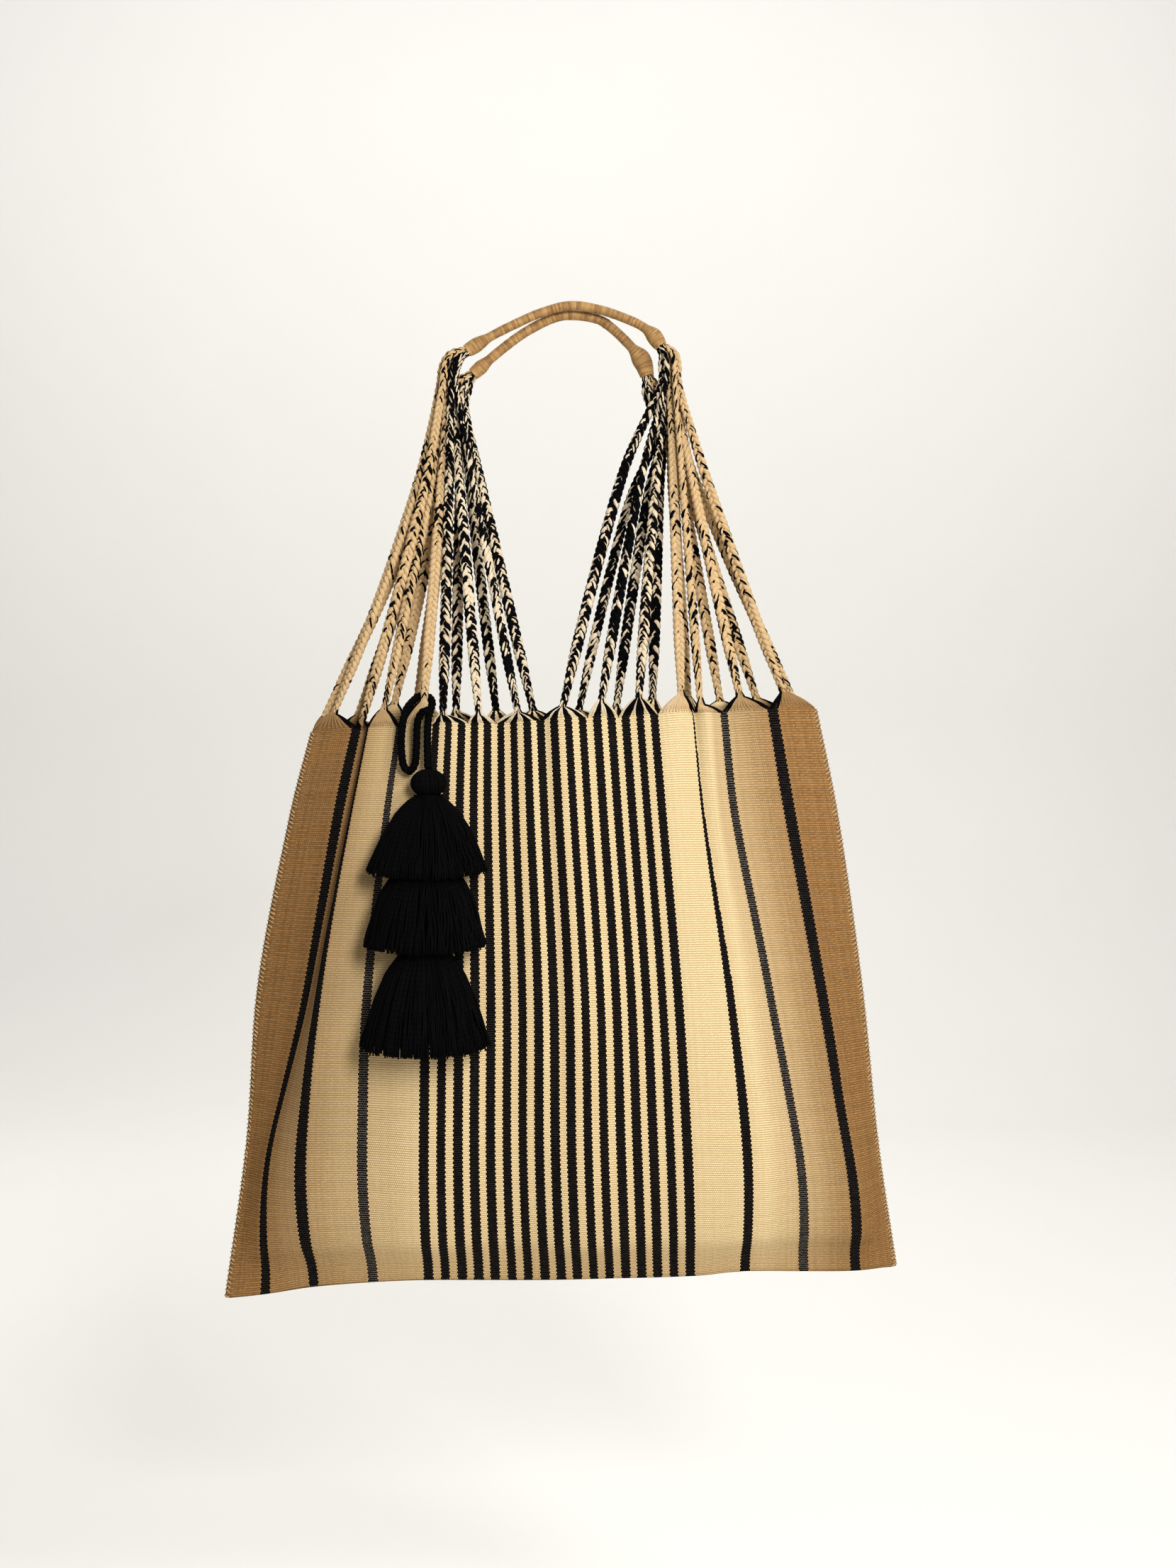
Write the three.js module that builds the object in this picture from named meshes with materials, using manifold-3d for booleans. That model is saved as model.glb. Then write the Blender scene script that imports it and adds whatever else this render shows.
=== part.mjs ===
// A hand-woven cotton bag that hangs by two wound handles: one striped cloth folded at the foot and sewn up
// both sides, the plaits that its gathered rim runs into, and a black tassel looped to one of the plaits.
// Millimetres, +Z up, the front towards -Y. The origin is the point under the handles where the bag hangs.
import * as THREE from "three";
import { mergeVertices } from "three/addons/utils/BufferGeometryUtils.js";
import Module from "manifold-3d";

const wasm = await Module();
wasm.setup();

// Cloth sizes.
const WALL = 1.6;
const SEAM_HALF = 1.8;
const SEAM_WIDTH = 2.4;
const HALF_FLAT = 211.5;
const COLUMNS_PER_POINT = 3;
const ROW_HEIGHTS = [0, 0.07, 0.2, 0.36, 0.52, 0.68, 0.83, 0.93, 1];

// The five levels at which the cloth's lines are given, as a share of its height and as a height.
// The foot follows each line's own footZ, and the rim rises from left to right.
const LEVEL_HEIGHT = { foot: 0, lower: 0.25, middle: 0.52, upper: 0.83, rim: 1 };
const LEVEL_Z = { lower: -521, middle: -423, upper: -314, rim: -254 };
const RIM_SLOPE = 0.045;

// Lines that run up the cloth. flat is the distance from the middle of the cloth laid flat, and the other
// columns are where the line stands on the hanging bag. The left pleat folds at its tuck and its lip.
const LINE_COLUMNS = [
  "line", "flat", "rimX", "rimY", "upperX", "upperY", "middleX", "middleY",
  "lowerX", "lowerY", "footX", "footZ",
];
const FRONT_LINES = [
  ["left seam", -211.5, -157, -1.8, -170.5, -1.8, -191, -1.8, -198, -1.8, -211.5, -619.7],
  ["outer left stripe", -187, -128, -9, -138.5, -15, -156.5, -19, -179.5, -13, -187, -617.5],
  ["pleat tuck", -165.7, -110.5, -11, -120.5, -18, -149.5, -27, -167, -20, -166, -613.5],
  ["pleat lip", -155, -119.5, -18, -129, -27, -147, -38, -157.5, -27, -156, -612],
  ["inner left stripe", -117.5, -100, -18, -106.5, -30, -116.5, -44, -120.5, -33, -118, -609.5],
  ["first fine stripe", -86, -79, -17, -81, -31, -83, -46, -85, -36, -86, -608],
  ["middle stripe", 0, -12, -16, -9, -31, -3, -47, -2, -37, 1, -608],
  ["last fine stripe", 86, 61.5, -16, 66, -30, 75, -46, 81.5, -36, 85.5, -606],
  ["inner right stripe", 117.5, 85, -11, 90, -25, 104, -42, 115, -33, 117, -602.6],
  ["right ridge", 130, 92.5, -16.5, 98, -28, 113.5, -42.5, 127, -33, 129.5, -602.8],
  ["middle right stripe", 155, 103, -14, 109.5, -24, 130, -37, 147.5, -28, 154.5, -603],
  ["outer right stripe", 187, 133.5, -13, 143.5, -17, 162.5, -22, 178.5, -16, 187.6, -602.6],
  ["right seam", 211.5, 162, -1.8, 175.5, -1.8, 191, -1.8, 201, -1.8, 212.5, -599.6],
].map(namedRow);
const BACK_LINES = [
  ["left seam", -211.5, -157, 1.8, -170.5, 1.8, -191, 1.8, -198, 1.8, -211.5, -619.7],
  ["left quarter", -117.5, -97, 8.2, -105, 9, -113, 12, -117, 10, -118, -609.5],
  ["middle", 0, -2, 9.2, -2, 10, -1, 13, 0, 11, 1, -608],
  ["right quarter", 117.5, 90, 8.2, 97, 9, 109, 12, 115, 10, 117, -602.6],
  ["right seam", 211.5, 162, 1.8, 175.5, 1.8, 191, 1.8, 201, 1.8, 212.5, -599.6],
].map(namedRow);

// The points of the gathered rim. flat is where a point begins on the cloth laid flat, and the peaks are
// where the front and the back panel's threads are gathered into a plait.
const POINT_COLUMNS = ["flat", "frontX", "frontZ", "backX", "backZ"];
const RIM_POINTS = [
  [-211.5, -143, -250.5, -150, -252],
  [-187, -124.4, -255, -129, -251],
  [-155, -109.5, -248.7, -106, -243.6],
  [-117.5, -84.7, -243.4, -91.6, -240],
  [-86, -72.9, -251.7, -66.7, -248.5],
  [-57, -50.4, -251, -41, -247.6],
  [-35, -26, -250, -17.3, -247.6],
  [0, 2, -246.4, 12, -247.2],
  [35, 26, -243.3, 36, -245],
  [57, 49.5, -241, 59, -240.4],
  [86, 76.2, -239.2, 81.8, -239],
  [117.5, 88, -245, 102.2, -241.8],
  [155, 113, -240, 125.2, -240],
  [187, 141, -237.2, 147.2, -238.3],
].map((row) => named(POINT_COLUMNS, row));
const TIP_HALF_WIDTH = 1.9;
const TIP_HALF_DEPTH = 1.7;
// How far up a rim point, and how far in towards its tip, each of its rows lies.
const POINT_ROWS = [
  { rise: 0.5, gather: 0.66 },
  { rise: 1, gather: 1 },
];

// Plaits: seven to a bundle, side by side round a middle one. across and deep are in bundle pitches.
const PLAIT_RADIUS = 2.35;
const PLAIT_SIDES = 8;
const PLAIT_STEPS_PER_POINT = 1;
const PLAIT_GAP = 1.7;
const BUNDLE_PITCH = 5;
const HEX_ROW = Math.sqrt(3) / 2;
const BUNDLE_PLACES = [
  { across: -1, deep: 0 },
  { across: -0.5, deep: -HEX_ROW },
  { across: -0.5, deep: HEX_ROW },
  { across: 0, deep: 0 },
  { across: 0.5, deep: -HEX_ROW },
  { across: 0.5, deep: HEX_ROW },
  { across: 1, deep: 0 },
];
const PLAITS_PER_BUNDLE = BUNDLE_PLACES.length;

// Slack plaits bow under their weight on the way from the rim to the neck of a bundle. FAN_SHARES are shares
// of the height, and the bows of a bundle's first and last plait are powers: 1 is straight.
const FAN_SHARES = [0.25, 0.5, 0.75];
const BUNDLE_BOWS = [
  { first: 1.3, last: 1.05 },
  { first: 0.75, last: 1.13 },
];

// Middle lines of the left and right bundles, from the neck where the plaits fan out up to a handle's end.
const BUNDLE_ROUTES = {
  front: [
    [[-70.5, -7, -41], [-69.6, -6.8, -33], [-67.2, -6.4, -27.6], [-63.4, -6, -23.7], [-58.9, -5.6, -21.1]],
    [[69.5, -7, -40], [69.5, -6.6, -31.5], [67.8, -6.1, -23.2], [63.7, -5.6, -17.9]],
  ],
  back: [
    [[-65.8, 7, -51], [-64.6, 6.8, -45.4], [-62.4, 6.4, -40.4], [-59.4, 6, -36.2], [-55.4, 5.6, -32.7]],
    [[68, 7, -62], [61.6, 6.8, -50.2], [57.7, 6.1, -40.4], [55.7, 5.6, -34]],
  ],
};

// Handles: a wound shaft along a route, with a thicker winding near each end.
const HANDLE_SIDES = 10;
const HANDLES = {
  front: {
    radius: 3,
    route: [
      [-58.3, -5.5, -20.7], [-43.5, -5, -11.6], [-30.5, -4.5, -4.8], [-12.3, -4, 3.4], [6, -4, 8.1],
      [24.2, -4, 5.8], [42.5, -4.6, -0.6], [51.7, -5, -5.1], [59, -5.3, -11], [63.4, -5.5, -17.4],
    ],
    ends: [
      { endRadius: 4.3, bulgeRadius: 4.7, bulgeAt: 6, length: 17 },
      { endRadius: 4.4, bulgeRadius: 5.2, bulgeAt: 7, length: 15 },
    ],
  },
  back: {
    radius: 3.2,
    route: [
      [-55, 5.6, -32.3], [-39.8, 4.6, -19.3], [-21.6, 3.5, -6.2], [-3.2, 3, 2.7], [6, 3, 4.2],
      [24.3, 3.2, 1.6], [33.5, 3.6, -4.4], [47.3, 4.6, -17.8], [52.8, 5.2, -25.2], [55.4, 5.6, -33.2],
    ],
    ends: [
      { endRadius: 4.2, bulgeRadius: 4.6, bulgeAt: 5, length: 14 },
      { endRadius: 4.6, bulgeRadius: 6.2, bulgeAt: 11, length: 21 },
    ],
  },
};
const STEPS_PER_HANDLE_POINT = 3;

// Tassel: a black cord hitched round the fourth front plait, a wound head and three skirts of yarn.
const LOOP_RADIUS = 2.05;
const LOOP_SIDES = 8;
const LOOP_STEPS_PER_POINT = 2;
const LOOP_ROUTE = [
  [-79.9, -37.6, -284.9], [-80.7, -32.6, -274.2], [-81.2, -27.6, -261], [-80.6, -23.4, -251.2],
  [-79.3, -17.6, -243.8], [-82.7, -11.1, -239.4], [-87.1, -11.1, -239], [-91.3, -17, -242.5],
  [-95.2, -23, -249], [-97.3, -25.6, -260.9], [-97.2, -28.6, -274.2], [-95.2, -30.8, -283.8],
  [-92, -31.4, -286.4], [-89, -30.8, -282.9], [-88, -28.6, -272], [-87.8, -27, -261],
  [-86.9, -26.4, -254], [-84.4, -27.8, -250], [-80.4, -28.6, -248.6],
];
const HEAD_CENTRE = [-79.5, -39, -293.8];
const HEAD_RADII = [10.9, 9.6, 8.6];
const HEAD_SEGMENTS = 14;
const HEAD_RINGS = 8;

// Each skirt: a neck that reaches up under the skirt above, where its top and its hem hang, and the half
// widths at all three.
const SKIRT_COLUMNS = [
  "name", "neckZ", "neckWidth", "topX", "topY", "topZ", "topWidth", "hemX", "hemY", "hemZ", "hemWidth",
];
const SKIRTS = [
  ["tassel_tier_top", -302.9, 9, -79.5, -40.5, -304.5, 13, -78.8, -53, -346.1, 36.7],
  ["tassel_tier_middle", -342.9, 4, -79.2, -55.5, -356, 22.8, -79.1, -62, -390, 36.9],
  ["tassel_tier_bottom", -387.4, 4, -78.9, -64.5, -399.3, 16.7, -78.9, -65, -448.7, 38.8],
].map((row) => named(SKIRT_COLUMNS, row));
// How far a skirt stands in front of and behind its middle line, as shares of its half width.
const SKIRT_FRONT_SHARE = 0.56;
const SKIRT_BACK_SHARE = 0.22;
// The core of a skirt: share of the way down, share of the way from the top width to the hem width.
const SKIRT_PROFILE = [
  { down: 0, spread: 0 },
  { down: 0.18, spread: 0.34 },
  { down: 0.5, spread: 0.6 },
  { down: 0.9, spread: 0.74 },
];
const SKIRT_SEGMENTS = 12;
const LOCKS = 11;
const LOCK_SIDES = 5;
const LOCK_TOP_RADIUS = 2.2;
const LOCK_HEM_RADIUS = 6.4;
const LOCK_START_DOWN = 0.14;
const LOCK_START_SPREAD = 0.2;
const FRONT_LOCK_DROP = 5;
const LOCK_DROP_VARIATION = 1.2;
const LOCK_DROP_WAVES = 5;
const HALF_LOCK = 0.5;

// Steps used to find which way a panel faces, and the distance within which vertices are one.
const FLAT_STEP = 0.5;
const HEIGHT_STEP = 0.002;
const MERGE_DISTANCE = 1e-3;

const COTTON = new THREE.MeshStandardMaterial({ color: 0xd9b77c, roughness: 0.9, metalness: 0 });
const PLAIT_YARN = new THREE.MeshStandardMaterial({ color: 0xcdb08a, roughness: 0.85, metalness: 0 });
const HANDLE_YARN = new THREE.MeshStandardMaterial({ color: 0xb98a4e, roughness: 0.85, metalness: 0 });
const BLACK_YARN = new THREE.MeshStandardMaterial({ color: 0x0d0c10, roughness: 0.9, metalness: 0 });

// A table row as an object with the given column names.
function named(columns, row) {
  return Object.fromEntries(columns.map((column, i) => [column, row[i]]));
}

function namedRow(row) {
  return named(LINE_COLUMNS, row);
}

function vector(xyz) {
  return new THREE.Vector3(...xyz);
}

// The point at a place on a smooth curve through keys, each a place and a point, in rising order of place.
function smoothAt(keys, place) {
  let i = 0;
  while (i < keys.length - 2 && place > keys[i + 1].place) {
    i += 1;
  }
  const slope = (k) => {
    const before = keys[Math.max(k - 1, 0)];
    const after = keys[Math.min(k + 1, keys.length - 1)];
    return after.point.clone().sub(before.point).divideScalar(after.place - before.place);
  };
  const span = keys[i + 1].place - keys[i].place;
  const s = (place - keys[i].place) / span;
  const s2 = s * s;
  const s3 = s2 * s;
  return keys[i].point.clone().multiplyScalar(2 * s3 - 3 * s2 + 1)
    .addScaledVector(slope(i), span * (s3 - 2 * s2 + s))
    .addScaledVector(keys[i + 1].point, 3 * s2 - 2 * s3)
    .addScaledVector(slope(i + 1), span * (s3 - s2));
}

// A line's point at one level. facing is -1 on the front panel and 1 on the back one.
function linePoint(row, level, facing) {
  if (level === "foot") {
    return new THREE.Vector3(row.footX, facing * SEAM_HALF, row.footZ);
  }
  const x = row[`${level}X`];
  const z = level === "rim" ? LEVEL_Z.rim + RIM_SLOPE * x : LEVEL_Z[level];
  return new THREE.Vector3(x, row[`${level}Y`], z);
}

// A panel as a function from a flat distance and a height share to a point of its outer face.
function panelSurface(lines, facing) {
  const levels = Object.keys(LEVEL_HEIGHT).map((level) => ({
    place: LEVEL_HEIGHT[level],
    keys: lines.map((row) => ({ place: row.flat, point: linePoint(row, level, facing) })),
  }));
  return (flat, height) => {
    const keys = levels.map((level) => ({ place: level.place, point: smoothAt(level.keys, flat) }));
    return smoothAt(keys, height);
  };
}

// The inner face's point opposite a point of the outer face, one wall's thickness in.
function innerPoint(surface, flat, height, facing) {
  const f = THREE.MathUtils.clamp(flat, SEAM_WIDTH - HALF_FLAT, HALF_FLAT - SEAM_WIDTH);
  const footHeight = SEAM_WIDTH / (LEVEL_Z.rim - FRONT_LINES[0].footZ);
  const h = Math.max(height, footHeight);
  const across = surface(f + FLAT_STEP, h).sub(surface(f - FLAT_STEP, h));
  const up = surface(f, h + HEIGHT_STEP).sub(surface(f, h - HEIGHT_STEP));
  const inward = up.cross(across).normalize().multiplyScalar(-facing);
  return surface(f, h).addScaledVector(inward, WALL);
}

// The flat places of all columns: each rim point is split into the same number of columns.
function columnFlats() {
  const flats = [];
  RIM_POINTS.forEach((point, k) => {
    const end = k + 1 < RIM_POINTS.length ? RIM_POINTS[k + 1].flat : HALF_FLAT;
    for (let i = 0; i < COLUMNS_PER_POINT; i += 1) {
      flats.push(THREE.MathUtils.lerp(point.flat, end, i / COLUMNS_PER_POINT));
    }
  });
  flats.push(HALF_FLAT);
  return flats;
}

const FLATS = columnFlats();
const SURFACES = { front: panelSurface(FRONT_LINES, -1), back: panelSurface(BACK_LINES, 1) };
const FACING = { front: -1, back: 1 };

// The middle of a rim point's tip, where its plait starts.
function tipCentre(panel, k) {
  const middle = (FLATS[k * COLUMNS_PER_POINT] + FLATS[(k + 1) * COLUMNS_PER_POINT]) / 2;
  const outer = SURFACES[panel](middle, 1);
  const inner = innerPoint(SURFACES[panel], middle, 1, FACING[panel]);
  const point = RIM_POINTS[k];
  return new THREE.Vector3(point[`${panel}X`], (outer.y + inner.y) / 2, point[`${panel}Z`]);
}

// Collects vertices and four-sided faces of one closed mesh.
class MeshBuilder {
  constructor() {
    this.positions = [];
    this.indices = [];
  }

  vertex(point) {
    this.positions.push(point.x, point.y, point.z);
    return this.positions.length / 3 - 1;
  }

  quad(a, b, c, d) {
    this.indices.push(a, b, c, a, c, d);
  }

  geometry() {
    const geometry = new THREE.BufferGeometry();
    geometry.setAttribute("position", new THREE.Float32BufferAttribute(this.positions, 3));
    geometry.setIndex(this.indices);
    geometry.computeVertexNormals();
    return geometry;
  }
}

// Vertices of one face of a panel: rows from the foot to the rim, then the rows of each rim point.
function panelFace(builder, panel, isOuter) {
  const surface = SURFACES[panel];
  const facing = FACING[panel];
  const at = (flat, height) =>
    isOuter ? surface(flat, height) : innerPoint(surface, flat, height, facing);
  const rows = ROW_HEIGHTS.map((height) => FLATS.map((flat) => builder.vertex(at(flat, height))));
  const points = RIM_POINTS.map((_, k) => {
    const tip = tipCentre(panel, k);
    const columns = FLATS.slice(k * COLUMNS_PER_POINT, (k + 1) * COLUMNS_PER_POINT + 1);
    return POINT_ROWS.map(({ rise, gather }) =>
      columns.map((flat, i) => {
        const base = at(flat, 1);
        const end = tip.clone();
        end.x += TIP_HALF_WIDTH * ((2 * i) / COLUMNS_PER_POINT - 1);
        end.y += TIP_HALF_DEPTH * facing * (isOuter ? 1 : -1);
        const x = THREE.MathUtils.lerp(base.x, end.x, gather);
        const y = THREE.MathUtils.lerp(base.y, end.y, gather);
        return builder.vertex(new THREE.Vector3(x, y, THREE.MathUtils.lerp(base.z, end.z, rise)));
      }),
    );
  });
  return { rows, points };
}

// Quads between neighbouring rows of vertices, turned over for faces that look the other way.
function strips(builder, rows, turned) {
  for (let r = 0; r + 1 < rows.length; r += 1) {
    for (let c = 0; c + 1 < rows[r].length; c += 1) {
      const corners = [rows[r][c], rows[r][c + 1], rows[r + 1][c + 1], rows[r + 1][c]];
      builder.quad(...(turned ? corners.reverse() : corners));
    }
  }
}

// Points at even angles round a ring.
function ringOf(sides, pointAt) {
  return Array.from({ length: sides }, (_, i) => pointAt((2 * Math.PI * i) / sides));
}

// A closed solid through rings of points, capped at both ends. Rings run anticlockwise about the way they go.
function ringSolid(rings) {
  const builder = new MeshBuilder();
  const rows = rings.map((ring) => {
    const row = ring.map((point) => builder.vertex(point));
    return [...row, row[0]];
  });
  strips(builder, rows, false);
  const cap = (ring, row, turned) => {
    const sum = ring.reduce((total, point) => total.add(point), new THREE.Vector3());
    const middle = builder.vertex(sum.divideScalar(ring.length));
    for (let i = 0; i + 1 < row.length; i += 1) {
      builder.indices.push(middle, ...(turned ? [row[i + 1], row[i]] : [row[i], row[i + 1]]));
    }
  };
  cap(rings[0], rows[0], true);
  cap(rings.at(-1), rows.at(-1), false);
  return builder.geometry();
}

// One panel's rim points: both faces, the two sides and the tip. front is the face nearer the viewer.
function rimPoints(builder, front, rear) {
  const top = ROW_HEIGHTS.length - 1;
  front.points.forEach((_, k) => {
    const first = k * COLUMNS_PER_POINT;
    const last = first + COLUMNS_PER_POINT;
    const rowsOf = (face) => [face.rows[top].slice(first, last + 1), ...face.points[k]];
    const frontRows = rowsOf(front);
    const rearRows = rowsOf(rear);
    strips(builder, frontRows, false);
    strips(builder, rearRows, true);
    const side = (rows, i) => rows.map((row) => row[i]);
    const join = (a, b) => a.map((vertex, r) => [vertex, b[r]]);
    strips(builder, join(side(rearRows, 0), side(frontRows, 0)), false);
    strips(builder, join(side(frontRows, COLUMNS_PER_POINT), side(rearRows, COLUMNS_PER_POINT)), false);
    strips(builder, [frontRows.at(-1), rearRows.at(-1)], false);
  });
}

// The whole cloth: two panels with a wall's thickness, joined at the seams and the foot, open at the rim.
function clothGeometry() {
  const builder = new MeshBuilder();
  const frontOuter = panelFace(builder, "front", true);
  const frontInner = panelFace(builder, "front", false);
  const backOuter = panelFace(builder, "back", true);
  const backInner = panelFace(builder, "back", false);
  strips(builder, frontOuter.rows, false);
  strips(builder, frontInner.rows, true);
  strips(builder, backOuter.rows, true);
  strips(builder, backInner.rows, false);
  const last = FLATS.length - 1;
  const column = (face, c) => face.rows.map((row) => row[c]);
  const join = (a, b) => a.map((vertex, r) => [vertex, b[r]]);
  strips(builder, join(column(backOuter, 0), column(frontOuter, 0)), false);
  strips(builder, join(column(frontOuter, last), column(backOuter, last)), false);
  strips(builder, join(column(backInner, 0), column(frontInner, 0)), true);
  strips(builder, join(column(frontInner, last), column(backInner, last)), true);
  strips(builder, [backOuter.rows[0], frontOuter.rows[0]], false);
  strips(builder, [backInner.rows[0], frontInner.rows[0]], true);
  const top = ROW_HEIGHTS.length - 1;
  const corners = (faces, c) => faces.map((face) => face.rows[top][c]);
  builder.quad(...corners([frontOuter, frontInner, backInner, backOuter], 0));
  builder.quad(...corners([frontOuter, backOuter, backInner, frontInner], last));
  rimPoints(builder, frontOuter, frontInner);
  rimPoints(builder, backInner, backOuter);
  return builder.geometry();
}

// A smooth route whose steps fall evenly between its points, so that they lie close together in a bend.
class Route extends THREE.CatmullRomCurve3 {
  getUtoTmapping(u) {
    return u;
  }
}

function circleShape(radius, sides) {
  const shape = new THREE.Shape();
  for (let i = 0; i < sides; i += 1) {
    const angle = (2 * Math.PI * i) / sides;
    shape[i ? "lineTo" : "moveTo"](radius * Math.cos(angle), radius * Math.sin(angle));
  }
  return shape;
}

function tubeGeometry(points, radius, sides, stepsPerPoint) {
  const route = new Route(points);
  const settings = { extrudePath: route, steps: (points.length - 1) * stepsPerPoint, curveSegments: 1 };
  return new THREE.ExtrudeGeometry(circleShape(radius, sides), settings);
}

// A plait's route: from its rim point along the fan to the neck, then in its place in the bundle.
function plaitRoute(panel, k) {
  const side = Math.floor(k / PLAITS_PER_BUNDLE);
  const order = k % PLAITS_PER_BUNDLE;
  const spine = BUNDLE_ROUTES[panel][side].map(vector);
  const place = BUNDLE_PLACES[order];
  const bundle = spine.map((point, i) => {
    const before = spine[Math.max(i - 1, 0)];
    const after = spine[Math.min(i + 1, spine.length - 1)];
    const along = after.clone().sub(before).normalize();
    const across = new THREE.Vector3(0, 1, 0).cross(along).normalize();
    const deep = along.clone().cross(across);
    return point.clone()
      .addScaledVector(across, place.across * BUNDLE_PITCH)
      .addScaledVector(deep, place.deep * BUNDLE_PITCH);
  });
  const tip = tipCentre(panel, k);
  const { first, last } = BUNDLE_BOWS[side];
  const bow = THREE.MathUtils.lerp(first, last, order / (PLAITS_PER_BUNDLE - 1));
  const fan = FAN_SHARES.map((share) => {
    const point = tip.clone().lerp(bundle[0], 1 - (1 - share) ** bow);
    return point.setZ(THREE.MathUtils.lerp(tip.z, bundle[0].z, share));
  });
  const start = tip.clone().addScaledVector(fan[0].clone().sub(tip).normalize(), PLAIT_GAP);
  return [start, ...fan, ...bundle];
}

// A geometry as a solid that can be joined to others.
function solidOf(geometry) {
  const bare = geometry.index ? geometry.toNonIndexed() : geometry.clone();
  const positions = new THREE.BufferGeometry().setAttribute("position", bare.getAttribute("position"));
  const merged = mergeVertices(positions, MERGE_DISTANCE);
  return new wasm.Manifold(new wasm.Mesh({
    numProp: 3,
    vertProperties: merged.getAttribute("position").array,
    triVerts: new Uint32Array(merged.index.array),
  }));
}

function geometryOf(solid) {
  const mesh = solid.getMesh();
  const geometry = new THREE.BufferGeometry();
  geometry.setAttribute("position", new THREE.Float32BufferAttribute(mesh.vertProperties, 3));
  geometry.setIndex([...mesh.triVerts]);
  geometry.computeVertexNormals();
  return geometry;
}

function joined(geometries) {
  return geometryOf(geometries.map(solidOf).reduce((all, solid) => all.add(solid)));
}

// Turns a geometry that stands along +Y so that it runs from a point in a direction.
function laidAlong(geometry, from, direction) {
  const turn = new THREE.Quaternion().setFromUnitVectors(new THREE.Vector3(0, 1, 0), direction);
  return geometry.applyQuaternion(turn).translate(from.x, from.y, from.z);
}

// The radius of a handle at a distance from one of its ends, where its winding is thicker.
function windingRadius(end, shaftRadius, distance) {
  if (distance < end.bulgeAt) {
    const share = Math.sin((Math.PI / 2) * (distance / end.bulgeAt));
    return THREE.MathUtils.lerp(end.endRadius, end.bulgeRadius, share);
  }
  const share = THREE.MathUtils.smoothstep(distance, end.bulgeAt, end.length);
  return THREE.MathUtils.lerp(end.bulgeRadius, shaftRadius, share);
}

function handleGeometry(handle) {
  const route = new Route(handle.route.map(vector));
  const steps = (handle.route.length - 1) * STEPS_PER_HANDLE_POINT;
  const frames = route.computeFrenetFrames(steps, false);
  const ends = [route.getPoint(0), route.getPoint(1)];
  const rings = Array.from({ length: steps + 1 }, (_, i) => {
    const centre = route.getPoint(i / steps);
    const radius = Math.max(
      ...handle.ends.map((end, e) => windingRadius(end, handle.radius, centre.distanceTo(ends[e]))),
    );
    return ringOf(HANDLE_SIDES, (angle) =>
      centre.clone()
        .addScaledVector(frames.normals[i], radius * Math.cos(angle))
        .addScaledVector(frames.binormals[i], radius * Math.sin(angle)));
  });
  return ringSolid(rings);
}

function headGeometry() {
  return new THREE.SphereGeometry(1, HEAD_SEGMENTS, HEAD_RINGS).rotateX(Math.PI / 2).scale(...HEAD_RADII);
}

// A point of a skirt: an angle round it, a share of the way down and a share of the spread.
function skirtPoint(skirt, angle, down, spread) {
  const width = THREE.MathUtils.lerp(skirt.topWidth, skirt.hemWidth, spread);
  const depthShare = Math.sin(angle) < 0 ? SKIRT_FRONT_SHARE : SKIRT_BACK_SHARE;
  return new THREE.Vector3(
    THREE.MathUtils.lerp(skirt.topX, skirt.hemX, down) + width * Math.cos(angle),
    THREE.MathUtils.lerp(skirt.topY, skirt.hemY, down) + width * depthShare * Math.sin(angle),
    THREE.MathUtils.lerp(skirt.topZ, skirt.hemZ, down),
  );
}

// The core of a skirt: rings down from its neck and along its profile.
function skirtCore(skirt) {
  const ring = (sizes, { down, spread }) =>
    ringOf(SKIRT_SEGMENTS, (angle) => skirtPoint(sizes, -angle, down, spread));
  const neck = { ...skirt, topZ: skirt.neckZ, topWidth: skirt.neckWidth };
  return ringSolid([ring(neck, SKIRT_PROFILE[0]), ...SKIRT_PROFILE.map((step) => ring(skirt, step))]);
}

// One lock of yarn, from under the top of a skirt to its hem. Locks in front hang lower.
function lockGeometry(skirt, i) {
  const angle = (2 * Math.PI * (i + HALF_LOCK)) / LOCKS;
  const from = skirtPoint(skirt, angle, LOCK_START_DOWN, LOCK_START_SPREAD);
  const to = skirtPoint(skirt, angle, 1, 1 - LOCK_HEM_RADIUS / skirt.hemWidth);
  to.z += FRONT_LOCK_DROP * Math.min(Math.sin(angle), 0);
  to.z += LOCK_DROP_VARIATION * Math.cos(LOCK_DROP_WAVES * angle);
  const length = from.distanceTo(to);
  const lock = new THREE.CylinderGeometry(LOCK_HEM_RADIUS, LOCK_TOP_RADIUS, length, LOCK_SIDES);
  return laidAlong(lock.translate(0, length / 2, 0), from, to.clone().sub(from).normalize());
}

function skirtGeometry(skirt) {
  const locks = Array.from({ length: LOCKS }, (_, i) => lockGeometry(skirt, i));
  return joined([skirtCore(skirt), ...locks]);
}

function mesh(name, geometry, material) {
  const made = new THREE.Mesh(geometry, material);
  made.name = name;
  return made;
}

const bag = new THREE.Group();
bag.add(mesh("bag_cloth", clothGeometry(), COTTON));
for (const panel of ["front", "back"]) {
  RIM_POINTS.forEach((_, k) => {
    const name = `plait_${panel}_${String(k + 1).padStart(2, "0")}`;
    const plait = tubeGeometry(plaitRoute(panel, k), PLAIT_RADIUS, PLAIT_SIDES, PLAIT_STEPS_PER_POINT);
    bag.add(mesh(name, plait, PLAIT_YARN));
  });
  bag.add(mesh(`handle_${panel}`, handleGeometry(HANDLES[panel]), HANDLE_YARN));
}
const tassel = new THREE.Group();
const loop = tubeGeometry(LOOP_ROUTE.map(vector), LOOP_RADIUS, LOOP_SIDES, LOOP_STEPS_PER_POINT);
tassel.add(mesh("tassel_loop", loop, BLACK_YARN));
const head = mesh("tassel_head", headGeometry(), BLACK_YARN);
head.position.set(...HEAD_CENTRE);
tassel.add(head);
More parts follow.
